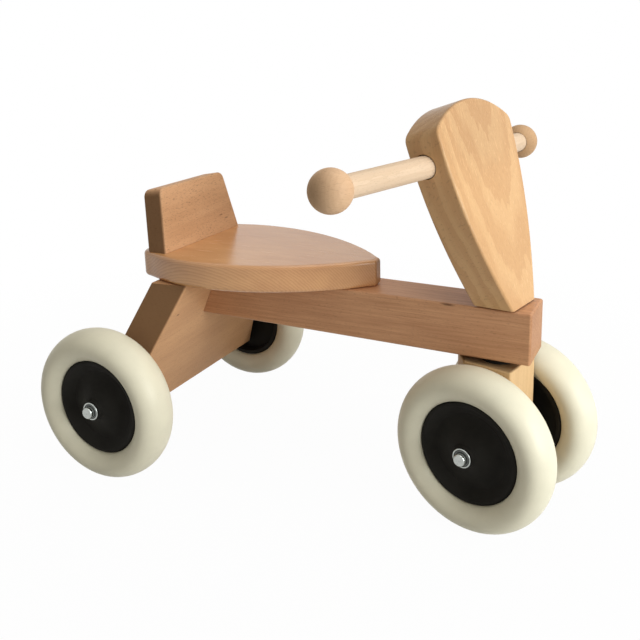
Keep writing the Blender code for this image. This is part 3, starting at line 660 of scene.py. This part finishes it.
def wood(name, grain, kind, ring=0.0042, bands=0.35, streaks=0.25, patches=0.3, flecks=0.25,
         zones=None, jagged=0.0006, ripple=1.0, ends=0.5, rough=0.5, specular=0.12, marks=()):
    """Beech of one kind, with its grain along the place's X and the middle of the tree along Z = 0."""
    made, tree, shader = new_finish(name, rough, specular=specular)
    light, dark = (getattr(settings().finishes, kind + tone) for tone in ("_light", "_dark"))
    coordinates = node(tree, "TexCoord", {})
    inside = laid_along(tree, grain, coordinates)

    def drawn_out(scales, *detail):
        return noise(tree, stretched(tree, inside, scales), *detail)

    wobble = drawn_out((28.0, 170.0, 170.0), ripple, 3.0)
    shift = node(tree, "CombineXYZ", {"Z": spread(tree, wobble, 0.25, 0.75, -jagged, jagged)})
    bent = vectors(tree, "ADD", inside, shift.outputs["Vector"])
    slow = stretched(tree, bent, (0.14, 1.0, 1.0))
    fine = drawn_out((26.0, 850.0, 850.0), 1.0, 3.0, 0.6)
    broad = drawn_out((9.0, 240.0, 240.0), 1.0, 2.0)
    clouds = drawn_out((14.0, 45.0, 45.0), 1.0, 2.0)
    rays = spread(tree, drawn_out((330.0, 1900.0, 240.0), 1.0, 1.0), 0.61, 0.71)
    depth = sums(tree, "MULTIPLY", spread(tree, year_rings(tree, slow, ring), 0.35, 0.95), bands)
    if zones:
        spacing, strength = zones
        wide = spread(tree, year_rings(tree, slow, spacing), 0.30, 0.62, 0.0, strength)
        depth = sums(tree, "ADD", depth, wide)
    for layer, strength in ((fine, streaks), (broad, 0.6 * streaks), (clouds, patches)):
        depth = sums(tree, "ADD", depth, evened(tree, layer, 0.0, strength))
    base = tinted(tree, depth, light, dark)
    base = tinted(tree, sums(tree, "MULTIPLY", rays, flecks), base, shade(dark, 0.45))
    for spot, reach, strength in marks:
        offset = vectors(tree, "SUBTRACT", coordinates.outputs["Object"], spot)
        scaled = stretched(tree, offset, tuple(1 / r for r in reach))
        away = vectors(tree, "LENGTH", scaled)
        away = sums(tree, "ADD", away, evened(tree, fine, -0.3, 0.3))
        base = tinted(tree, spread(tree, away, 0.4, 1.0, strength, 0.0), base, STAIN)
    across = vectors(tree, "DOT_PRODUCT", coordinates.outputs["Normal"], grain.to_3x3().col[0])
    cut = spread(tree, sums(tree, "ABSOLUTE", across, 0.0), 0.45, 0.97)
    base = tinted(tree, sums(tree, "MULTIPLY", cut, ends), base, shade(dark, 0.34))
    dull = spread(tree, cut, 0.0, 1.0, specular, 0.2 * specular)
    tree.links.new(dull, shader.inputs["Specular IOR Level"])
    height = sums(tree, "SUBTRACT", fine, sums(tree, "MULTIPLY", rays, 0.5))
    dress(tree, shader, base, evened(tree, fine, rough - 0.04, rough + 0.08), height, 0.08, 0.0004)
    return made


def rubber(name, place):
    """Smooth cream rubber with faint moulding lines round the crown."""
    made, tree, shader = new_finish(name, 0.48, specular=0.3)
    inside, base = laid_along(tree, place), settings().finishes.rubber
    clouds = noise(tree, inside, 45.0, 3.0)
    # In the rubber this noise gives only fine specks of dirt.
    grime_and_painted_shade = noise(tree, inside, 900.0, 2.0)
    tone = tinted(tree, evened(tree, clouds), base, shade(base, 0.93))
    tone = tinted(tree, spread(tree, grime_and_painted_shade, 0.62, 0.8, 0.0, 0.25), tone, shade(base, 0.7))
    lines = waves(tree, inside, 0.0032, {"Distortion": 0.0},
                  wave_type="BANDS", bands_direction="Z", wave_profile="SIN")
    height = sums(tree, "ADD", sums(tree, "MULTIPLY", lines, 0.5), sums(tree, "MULTIPLY", grime_and_painted_shade, 0.3))
    dress(tree, shader, tone, evened(tree, clouds, 0.42, 0.52), height, 0.06, 0.0003)
    return made


def moulded(name, place):
    """Moulded black plastic with a fine matte skin."""
    made, tree, shader = new_finish(name, 0.515, specular=0.04)
    inside, base = laid_along(tree, place), settings().finishes.plastic
    clouds = noise(tree, inside, 60.0, 3.0)
    skin = noise(tree, inside, 2600.0, 2.0)
    tone = tinted(tree, evened(tree, clouds), base, shade(base, 0.75))
    tone = tinted(tree, spread(tree, skin, 0.6, 0.8, 0.0, 0.3), tone, shade(base, 1.5))
    dress(tree, shader, tone, evened(tree, clouds, 0.45, 0.58), skin, 0.12, 0.0002)
    return made


def zinc(name, place, groove=None):
    """Bright zinc with fine turning marks round the place's Z, and painted shade: a groove round it
    tinted nearly black.
    """
    made, tree, shader = new_finish(name, 0.24, metallic=1.0)
    inside, base = laid_along(tree, place), settings().finishes.zinc
    marks = waves(tree, inside, 0.0005, {"Distortion": 2.0, "Detail": 2.0, "Detail Scale": 0.2},
                  wave_type="RINGS", rings_direction="Z", wave_profile="SIN")
    clouds = noise(tree, inside, 400.0, 3.0)
    tone = tinted(tree, evened(tree, clouds), base, shade(base, 0.82))
    # Painted shade and a painted dark reflection: the groove between the cap's head and its lip is tinted
    # nearly black.
    if groove:
        inner, outer = groove
        fade = 0.0003
        away = vectors(tree, "LENGTH", stretched(tree, inside, (1, 1, 0)))
        grime_and_painted_shade = sums(tree, "MULTIPLY", spread(tree, away, inner, inner + fade),
                     spread(tree, away, outer - fade, outer, 1.0, 0.0))
        tone = tinted(tree, sums(tree, "MULTIPLY", grime_and_painted_shade, 0.85), tone, (0.03, 0.03, 0.03))
    dress(tree, shader, tone, evened(tree, clouds, 0.14, 0.26), marks, 0.03, 0.0001)
    return made


def grain_along(place, along, outwards, pith):
    """A place whose X runs along the grain and whose Z = 0 is the middle of the tree."""
    along = Vector(along).normalized()
    outwards = (Vector(outwards) - along * along.dot(Vector(outwards))).normalized()
    axes = Matrix((along, outwards.cross(along), outwards)).transposed().to_4x4()
    return place @ axes @ Matrix.Translation((0, 0, -pith))


# ---- pieces

class RIDEON_OT_seat(bpy.types.Operator):
    """Model the shield-shaped seat board"""
    bl_idname = "rideon.seat"
    bl_label = "Seat"

    def execute(self, context):
        g, size = layout(), settings().frame
        middle = size.tail_radius - size.seat_tail
        half = arc(middle, size.tail_half_width - size.tail_radius, size.tail_radius, 180, 100, 9)
        steps = 14
        for i in range(1, steps + 1):
            x = middle + (size.seat_widest - middle) * i / steps
            away = (size.seat_widest - x) / (size.seat_widest - middle)
            half.append((x, size.seat_half_width
                         - (size.seat_half_width - size.tail_half_width) * away ** 2))
        front = size.seat_nose - size.nose_radius - size.seat_widest
        steps, whole, crowding = 36, 36.2, 0.8
        for i in range(1, steps):
            u = (i / whole) ** crowding
            y = (size.seat_half_width - size.nose_half_width) * (1 - u * u) ** size.seat_blend
            half.append((size.seat_widest + front * u, size.nose_half_width + y))
        half += arc(size.seat_nose - size.nose_radius, size.nose_half_width - size.nose_radius,
                    size.nose_radius, 60, 0, 6)
        outline = half + [(x, -y) for x, y in reversed(half)]
        made = board("seat_board", outline, size.seat_thickness, size.seat_rim, 6)
        settle(made, g.beam @ Matrix.Translation((0, 0, FIT / 2 + size.seat_thickness / 2)))
        grain = grain_along(g.beam, (1, 0, 0), (0, 0.92, 0.38), 0.35)
        finish(made, "frame", "seat",
               wood("seat_beech", grain, "seat", ring=0.0016, bands=0.42,
                    streaks=0.15, patches=0.5, flecks=0.1, jagged=0.0003, ends=0.6, rough=0.2,
                    specular=0.6))
        return {"FINISHED"}


class RIDEON_OT_backrest(bpy.types.Operator):
    """Model the low backrest that stands on the seat"""
    bl_idname = "rideon.backrest"
    bl_label = "Backrest"

    def execute(self, context):
        g, size = layout(), settings().frame
        side = math.atan2(size.back_half_width - size.back_top_half_width, size.back_height)
        corner = size.back_top_half_width - size.back_corner * math.tan(math.pi / 4 - side / 2)
        below = -0.008
        half = [(size.back_half_width - below * math.tan(side), below)]
        half += arc(corner, size.back_height - size.back_corner, size.back_corner,
                    math.degrees(side), 90, 10)
        made = upright_board("backrest_board", half, size.back_thickness, size.back_rim, g.back)
        foot = g.beam @ Vector((0, 0, g.seat_top + FIT / 3))
        cut_off(made, foot, -(g.beam.to_3x3().col[2]))
        grain = grain_along(g.back, (0, 1, 0.05), (1, 0, 0.08), 0.09)
        finish(made, "frame", "backrest",
               wood("backrest_beech", grain, "back", ring=0.0055, bands=0.12,
                    streaks=0.18, patches=0.5, flecks=0.8, ends=0.85,
                    marks=(((-0.1515, 0.036, 0.2305), (0.004, 0.0045, 0.0010), 0.6),
                           ((-0.1505, 0.044, 0.2258), (0.004, 0.0035, 0.0009), 0.6))))
        return {"FINISHED"}


class RIDEON_OT_main_beam(bpy.types.Operator):
    """Model the beam from the rear leg to the steering"""
    bl_idname = "rideon.main_beam"
    bl_label = "Main beam"

    def execute(self, context):
        g, size = layout(), settings().frame
        half = size.beam_width / 2
        made = block("beam_bar", (0, -half, -size.beam_height),
                     (g.axis_ahead + size.beam_nose, half, 0), size.beam_rim)
        settle(made, g.beam)
        cut_off(made, g.leg @ Vector((FIT, 0, 0)), -g.leg.to_3x3().col[0])
        grain = grain_along(g.beam, (1, 0.01, 0.012), (0, 0.55, 0.83), 0.13)
        finish(made, "frame", "main_beam",
               wood("beam_beech", grain, "beam", ring=0.0034, bands=0.16,
                    streaks=0.55, ends=0.25, rough=0.4, specular=0.22,
                    marks=(((0.131, -0.0229, 0.1952), (0.0085, 0.003, 0.0012), 0.85),)))
        return {"FINISHED"}


class RIDEON_OT_rear_leg(bpy.types.Operator):
    """Model the leaning leg that carries the rear axle"""
    bl_idname = "rideon.rear_leg"
    bl_label = "Rear leg"

    def execute(self, context):
        g, size, w = layout(), settings().frame, wheel_shape()
        # The foot ends inside the wheels' dishes
        behind = size.leg_thickness - size.leg_ahead * math.cos(size.leg_lean)
        below = math.sqrt((w.dish - WHEEL_ROOM) ** 2 - behind ** 2)
        foot = -size.leg_ahead * math.sin(size.leg_lean) - below
        top = (g.beam_over_axle + size.leg_thickness) / math.cos(size.leg_lean)
        half = [(size.leg_half_width - size.leg_flare * foot, foot),
                (size.leg_half_width - size.leg_flare * top, top)]
        made = upright_board("leg_board", half, size.leg_thickness, size.leg_rim, g.leg)
        cut_off(made, g.beam @ Vector((0, 0, -FIT / 2)), g.beam.to_3x3().col[2])
        pocket, margin, beyond = w.tail + WHEEL_ROOM, 0.001, 0.05
        floor = size.leg_half_width - size.leg_flare * (pocket + margin)
        for _, sign in SIDES:
            outwards = g.rear_axle @ Matrix.Rotation(-sign * math.pi / 2, 4, "X")
            bore(made, outwards, pocket, floor, floor + beyond)
        grain = grain_along(g.leg, (0, 1, 0.06), (1, 0, 0.10), 0.10)
        finish(made, "frame", "rear_leg",
               wood("leg_beech", grain, "leg", ring=0.0048, bands=0.12,
                    streaks=0.16, patches=0.4, flecks=0.4, ends=0.9,
                    marks=(((-0.1296, -0.0717, 0.1545), (0.004, 0.0032, 0.0014), 0.8),)))
        return {"FINISHED"}


class RIDEON_OT_front_block(bpy.types.Operator):
    """Model the block under the beam that carries the front axle"""
    bl_idname = "rideon.front_block"
    bl_label = "Front block"

    def execute(self, context):
        g, steer = layout(), settings().steering
        top = g.axle_to_top - settings().frame.beam_height - steer.block_gap
        back = -steer.block_behind - steer.block_length / 2
        half = steer.block_width / 2
        made = block("axle_block", (back, -half, -steer.block_below),
                     (back + steer.block_length, half, top), steer.block_rim,
                     chamfer=steer.block_chamfer)
        settle(made, g.steering)
        grain = grain_along(g.steering, (0.02, 0.03, 1), (1, 0.4, 0), 0.12)
        finish(made, "steering", "front_block",
               wood("block_beech", grain, "block", ring=0.0030, bands=0.25,
                    streaks=0.2, patches=0.1, ends=0.8))
        return {"FINISHED"}


class RIDEON_OT_steering_stem(bpy.types.Operator):
    """Model the stem: a board that swells to its rounded shoulders, with a round top"""
    bl_idname = "rideon.steering_stem"
    bl_label = "Steering stem"

    def execute(self, context):
        g, steer = layout(), settings().steering
        spare, beyond, steps = 0.012, 0.03, 36
        low = -2 * steer.stem_rim - spare
        middle = steer.shoulder - math.sqrt(steer.top_radius ** 2 - steer.stem_half_width ** 2)
        inner = steer.stem_half_width - steer.stem_corner
        over = math.sqrt((steer.top_radius - steer.stem_corner) ** 2 - inner ** 2)
        turn = math.degrees(math.atan2(over, inner))
        half = [(stem_half_width(up), up) for up in
                [low + (middle + over - low) * i / steps for i in range(steps + 1)]]
        half += arc(inner, middle + over, steer.stem_corner, 0, turn, 13)[1:]
        half += arc(0, middle, steer.top_radius, turn, 90, 20)[1:-1] + [(0, middle + steer.top_radius)]
        made = upright_board("stem_board", half, steer.stem_thickness, steer.stem_rim, g.stem)
        foot = g.steering @ Vector((0, 0, g.axle_to_top + steer.stem_gap))
        cut_off(made, foot, -g.steering.to_3x3().col[2])
        for _, place, _ in grip_places():
            bore(made, place, steer.grip_radius + STEM_MOUTH, -steer.grip_in_stem - FIT, beyond)
        grain = grain_along(g.stem, (0.17, 0, 1), (1, -0.1, 0), 0.10)
        crown = g.stem @ Vector((0, 0, steer.shoulder))
        finish(made, "steering", "steering_stem",
               wood("stem_beech", grain, "stem", ring=0.0017, bands=0.14,
                    streaks=0.13, patches=0.15, zones=(0.0105, 0.55), jagged=0.003, ripple=0.45,
                    ends=0.3, rough=0.22, specular=0.2, marks=((crown, (0.06, 0.075, 0.055), 0.17),)))
        return {"FINISHED"}


class RIDEON_OT_grips(bpy.types.Operator):
    """Model the two round grips of the handlebar"""
    bl_idname = "rideon.grips"
    bl_label = "Grips"

    def execute(self, context):
        steer = settings().steering
        edge = 0.0006
        for side, place, along in grip_places():
            end = along - steer.ball_radius + steer.grip_in_ball
            put_down()
            bpy.ops.mesh.primitive_cylinder_add(vertices=64, radius=steer.grip_radius,
                                                depth=end + steer.grip_in_stem)
            made = start("grip_bar_" + side)
            bpy.ops.transform.translate(value=(0, 0, (end - steer.grip_in_stem) / 2))
            choose_edges(made, lambda rim: any(is_level(face) for face in rim.link_faces))
            bpy.ops.mesh.bevel(offset=edge, segments=3, affect="EDGES")
            settle(made, place)
            grain = grain_along(place, (0.01, 0, 1), (1, 0.3, 0), 0.03)
            finish(made, "steering", "grip_" + side,
                   wood("grip_beech_" + side, grain, "grip", ring=0.0026))
        return {"FINISHED"}


class RIDEON_OT_balls(bpy.types.Operator):
    """Model the balls on the ends of the grips"""
    bl_idname = "rideon.balls"
    bl_label = "Balls"

    def execute(self, context):
        steer = settings().steering
        radius = steer.ball_radius
        mouth = steer.grip_radius + BALL_MOUTH
        floor = -radius + steer.grip_in_ball + FIT
        opening = math.degrees(math.asin(mouth / radius))
        profile = [(0, floor), (mouth, floor)]
        profile += arc(0, 0, radius, opening - 90, 90, 41)[:-1] + [(0, radius)]
        first = turned("ball", profile, 64, closed=False)
        put_down()
        for side, place, along in grip_places():
            made = copy_of(first, "ball_end_" + side)
            middle = place @ Matrix.Translation((0, 0, along))
            settle(made, middle)
            grain = grain_along(middle, (0.25, 0.2, 1), (1, 0, 0), 0.035)
            # The left ball's darker colours are painted shade.
            finish(made, "steering", "ball_" + side,
                   wood("ball_beech_" + side, grain, side + "_ball", ring=0.0028, bands=0.15, ends=0.2))
        bpy.data.meshes.remove(first.data)
        return {"FINISHED"}


class RIDEON_OT_tyres(bpy.types.Operator):
    """Model one cream tyre and copy it to the four wheels"""
    bl_idname = "rideon.tyres"
    bl_label = "Tyres"

    def execute(self, context):
        wheel, w = settings().wheels, wheel_shape()
        profile, steps = [], 48
        for i in range(steps + 1):
            turn = math.pi / 2 + wheel.bead_turn - (math.pi + 2 * wheel.bead_turn) * i / steps
            profile.append((w.middle + wheel.section * math.cos(turn), wheel.half_width * math.sin(turn)))
        profile += [(w.bead, -w.rib), (w.bead - wheel.rib_depth, 0), (w.bead, w.rib)]
        on_wheels(turned("tyre", profile, 128), "_rubber", "_tyre",
                  lambda name, place: rubber(name + "_cream", place))
        return {"FINISHED"}


class RIDEON_OT_hubs(bpy.types.Operator):
    """Model one hub, a cone in a round groove, and copy it to the four wheels"""
    bl_idname = "rideon.hubs"
    bl_label = "Hubs"

    def execute(self, context):
        wheel, w = settings().wheels, wheel_shape()
        hollow, draft, soft, steps = 1.2, 0.001, 0.0007, 11
        boss = w.flange + wheel.nose_margin
        cone, cone_high = boss + wheel.boss_taper, w.nose - wheel.boss
        edge = w.rim - wheel.rim_flat
        groove, groove_low = edge - wheel.groove_run, w.rim_out - wheel.groove
        profile = [(w.bore, w.nose), (boss, w.nose)]
        for i in range(steps + 1):
            u = i / steps
            profile.append((cone + (groove - cone) * u,
                            groove_low + (cone_high - groove_low) * (1 - u) ** hollow))
        profile += [(edge, w.rim_out), (w.rim - wheel.rim_edge, w.rim_out),
                    (w.rim, w.rim_out - wheel.rim_edge), (w.rim, w.rib + FIT),
                    (w.rim - wheel.rib_depth, 0), (w.rim, -w.rib - FIT),
                    (w.rim, wheel.rim_edge - w.rim_out), (w.rim - wheel.rim_edge, -w.rim_out),
                    (w.dish + draft, -w.rim_out), (w.dish, wheel.dish_floor),
                    (w.tail + draft, wheel.dish_floor + draft), (w.tail, wheel.dish_floor),
                    (w.tail, -wheel.tail), (w.bore, -wheel.tail)]
        on_wheels(turned("hub", softened(profile, soft), 128), "_moulding", "_hub",
                  lambda name, place: moulded(name + "_black", place))
        return {"FINISHED"}


class RIDEON_OT_axle_caps(bpy.types.Operator):
    """Model one pressed axle cap and copy it to the four axle ends"""
    bl_idname = "rideon.axle_caps"
    bl_label = "Axle caps"

    def execute(self, context):
        wheel, w = settings().wheels, wheel_shape()
        high = w.axle_end + wheel.cap_end
        lip = w.cap_low + wheel.cap_flange
        end_round, lip_round, foot_round, depth = 0.0027, 0.0008, 0.0002, 0.0011
        fillet, half_fillet, rise, lip_in = 0.0006, 0.0003, 0.0001, 0.0019
        groove = lip - depth
        profile = [(0, high), (w.cap_dome - end_round, high)]
        profile += arc(w.cap_dome - end_round, high - end_round, end_round, 75, 0, 6)
        profile += [(w.cap_dome, groove + 4 * rise), (w.cap_dome + half_fillet, groove + rise),
                    (w.cap_dome + fillet, groove), (w.flange - lip_in, groove + rise)]
        profile += arc(w.flange - lip_round, lip - lip_round, lip_round, 180, 0, 10)
        profile += [(w.flange, w.cap_low + foot_round), (w.flange - foot_round, w.cap_low),
                    (w.fit, w.cap_low), (w.fit, w.axle_end), (0, w.axle_end)]
        inset, lip_foot = 0.0001, 0.0013
        # The ring between the cap's head and its lip is tinted nearly black: painted shade in that
        # groove.
        painted_groove_shade = (w.cap_dome + inset, w.flange - lip_foot)
        on_wheels(turned("cap", profile, 64, closed=False), "_axle_cap", "_cap",
                  lambda name, place: zinc(name + "_zinc", place, painted_groove_shade),
                  bodies={"front": "steering", "rear": "frame"}, smooth_below=50.0)
        return {"FINISHED"}


class RIDEON_OT_fittings(bpy.types.Operator):
    """Finish the solids that stay as they are: axles, pins, screws, washers, spacers and the bush"""
    bl_idname = "rideon.fittings"
    bl_label = "Fittings"

    def execute(self, context):
        slots = {part["node"]: part["material_slot"] for part in frame["record"]["subparts"]}
        for name, solid in frame["nodes"].items():
            if solid.hide_render:
                continue
            low, high = (Vector(corner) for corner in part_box(name))
            place = Matrix.Translation((low + high) / 2)
            if slots[name] == "bright_steel":
                across = name.endswith("_axle")
                turn = Matrix.Rotation(math.pi / 2, 4, "X") if across else Matrix.Identity(4)
                made = zinc(name + "_zinc", place @ turn)
            elif slots[name] == "black_plastic":
                made = moulded(name + "_black", place)
            else:
                grain = grain_along(place, (0, 0, 1), (1, 0, 0), 0.02)
                made = wood(name + "_beech", grain, "grip", ring=0.0026)
            solid.data.materials.clear()
            solid.data.materials.append(made)
        return {"FINISHED"}


# ---- stage

class RIDEON_OT_stage(bpy.types.Operator):
    """Set up the pale floor, the white room, the lamps and the camera"""
    bl_idname = "rideon.stage"
    bl_label = "Stage"

    def execute(self, context):
        stage = settings().stage
        put_down()
        bpy.ops.mesh.primitive_circle_add(vertices=64, radius=6.0, fill_type="NGON", location=(0, 0, 0))
        floor = named("floor")
        floor.data.materials.append(self.floor_finish())
        self.room(stage.room)
        self.lamp("key_lamp", place=(1.45, -0.33, 0.58), aim=(0.05, 0.0, 0.18), size=0.8,
                  power=stage.key, tint=(0.95, 0.98, 1.0))
        self.lamp("top_lamp", place=(0.3, 0.1, 1.4), aim=(0.03, 0.0, 0.1), size=1.2,
                  power=stage.top, tint=(1.0, 1.0, 1.0))
        self.camera(stage)
        context.scene.view_settings.view_transform = "Standard"
        return {"FINISHED"}

    def seen_rays(self, tree):
        """One for the rays that see the white, and nought for the rays that light the object."""
        path = node(tree, "LightPath", {})
        seen = sums(tree, "MAXIMUM", path.outputs["Is Camera Ray"], path.outputs["Is Glossy Ray"])
        return sums(tree, "MAXIMUM", seen, path.outputs["Is Transmission Ray"])

    def floor_finish(self):
        """Pale floor that keeps the shadow near the object and is white further out."""
        made, tree, shader = new_finish("pale_floor", 0.9, specular=0.0)
        coordinates = node(tree, "TexCoord", {})
        clouds = noise(tree, coordinates.outputs["Object"], 2.0, 2.0)
        tone = tinted(tree, evened(tree, clouds), (0.62, 0.62, 0.62), (0.60, 0.60, 0.60))
        tree.links.new(tone, shader.inputs["Base Color"])
        away = vectors(tree, "LENGTH", coordinates.outputs["Object"])
        glow = node(tree, "Emission", {"Color": (1, 1, 1, 1), "Strength": 1.0})
        white = spread(tree, away, 0.25, 0.75, 0.975, 1.0)
        share_of = sums(tree, "MULTIPLY", self.seen_rays(tree), white)
        mixed = node(tree, "MixShader", {0: share_of, 1: shader.outputs[0], 2: glow.outputs[0]})
        tree.links.new(mixed.outputs[0], tree.nodes["Material Output"].inputs["Surface"])
        return made

    def room(self, strength):
        """White all round, with more light from above than from below."""
        world = bpy.data.worlds.new("white_room")
        bpy.context.scene.world = world
        world.use_nodes = True
        tree = world.node_tree
        background = tree.nodes["Background"]
        coordinates = node(tree, "TexCoord", {})
        towards = vectors(tree, "DOT_PRODUCT", coordinates.outputs["Generated"], (0.2, 0.2, 0.96))
        light = spread(tree, towards, -0.7, 1.0, 0.15 * strength, 1.5 * strength)
        seen = self.seen_rays(tree)
        tree.links.new(tinted(tree, seen, (1.0, 0.95, 0.85), (1, 1, 1)), background.inputs["Color"])
        tree.links.new(sums(tree, "MAXIMUM", seen, light), background.inputs["Strength"])

    def lamp(self, name, place, aim, size, power, tint):
        """A square lamp aimed at a point."""
        put_down()
        bpy.ops.object.light_add(type="AREA", location=place)
        made = named(name)
        made.data.size = size
        made.data.energy = power
        made.data.color = tint
        made.rotation_euler = (Vector(aim) - Vector(place)).to_track_quat("-Z", "Y").to_euler()

    def camera(self, stage):
        """The camera that was fitted to the photograph."""
        put_down()
        bpy.ops.object.camera_add(location=stage.place)
        made = named("photo_camera")
        ahead = Vector((math.cos(stage.yaw) * math.cos(stage.pitch),
                        math.sin(stage.yaw) * math.cos(stage.pitch), -math.sin(stage.pitch)))
        right = ahead.cross(Vector((0, 0, 1))).normalized()
        up = right.cross(ahead)
        turned_right = right * math.cos(stage.roll) - up * math.sin(stage.roll)
        turned_up = up * math.cos(stage.roll) + right * math.sin(stage.roll)
        axes = Matrix((turned_right, turned_up, -ahead)).transposed()
        made.rotation_euler = axes.to_euler()
        made.data.sensor_fit = "HORIZONTAL"
        made.data.sensor_width = SENSOR
        made.data.lens = stage.focal / FRAME_PIXELS * SENSOR
        made.data.shift_x = (FRAME_PIXELS / 2 - stage.middle_x) / FRAME_PIXELS
        made.data.shift_y = (stage.middle_y - FRAME_PIXELS / 2) / FRAME_PIXELS
        made.data.clip_start = 0.01
        bpy.context.scene.camera = made


PIECES = (RIDEON_OT_seat, RIDEON_OT_backrest, RIDEON_OT_main_beam, RIDEON_OT_rear_leg,
          RIDEON_OT_front_block, RIDEON_OT_steering_stem, RIDEON_OT_grips, RIDEON_OT_balls,
          RIDEON_OT_tyres, RIDEON_OT_hubs, RIDEON_OT_axle_caps, RIDEON_OT_fittings, RIDEON_OT_stage)


class RIDEON_PT_panel(bpy.types.Panel):
    """The pieces of the ride-on, in the order they are made"""
    bl_idname = "RIDEON_PT_panel"
    bl_label = "Wooden ride-on"
    bl_space_type = "VIEW_3D"
    bl_region_type = "UI"
    bl_category = "Ride-on"

    def draw(self, context):
        for piece in PIECES:
            self.layout.operator(piece.bl_idname)


CLASSES = (FrameSizes, SteeringSizes, WheelSizes, Finishes, StageSettings, RideOn, *PIECES,
           RIDEON_PT_panel)


def register():
    for kind in CLASSES:
        bpy.utils.register_class(kind)
    bpy.types.Scene.ride_on = PointerProperty(type=RideOn, name="Ride-on",
                                              description="Settings of the wooden ride-on")


def unregister():
    del bpy.types.Scene.ride_on
    for kind in reversed(CLASSES):
        bpy.utils.unregister_class(kind)


def main():
    register()
    bpy.ops.rideon.seat()
    bpy.ops.rideon.backrest()
    bpy.ops.rideon.main_beam()
    bpy.ops.rideon.rear_leg()
    bpy.ops.rideon.front_block()
    bpy.ops.rideon.steering_stem()
    bpy.ops.rideon.grips()
    bpy.ops.rideon.balls()
    bpy.ops.rideon.tyres()
    bpy.ops.rideon.hubs()
    bpy.ops.rideon.axle_caps()
    bpy.ops.rideon.fittings()
    bpy.ops.rideon.stage()


if __name__ == "__main__":
    main()
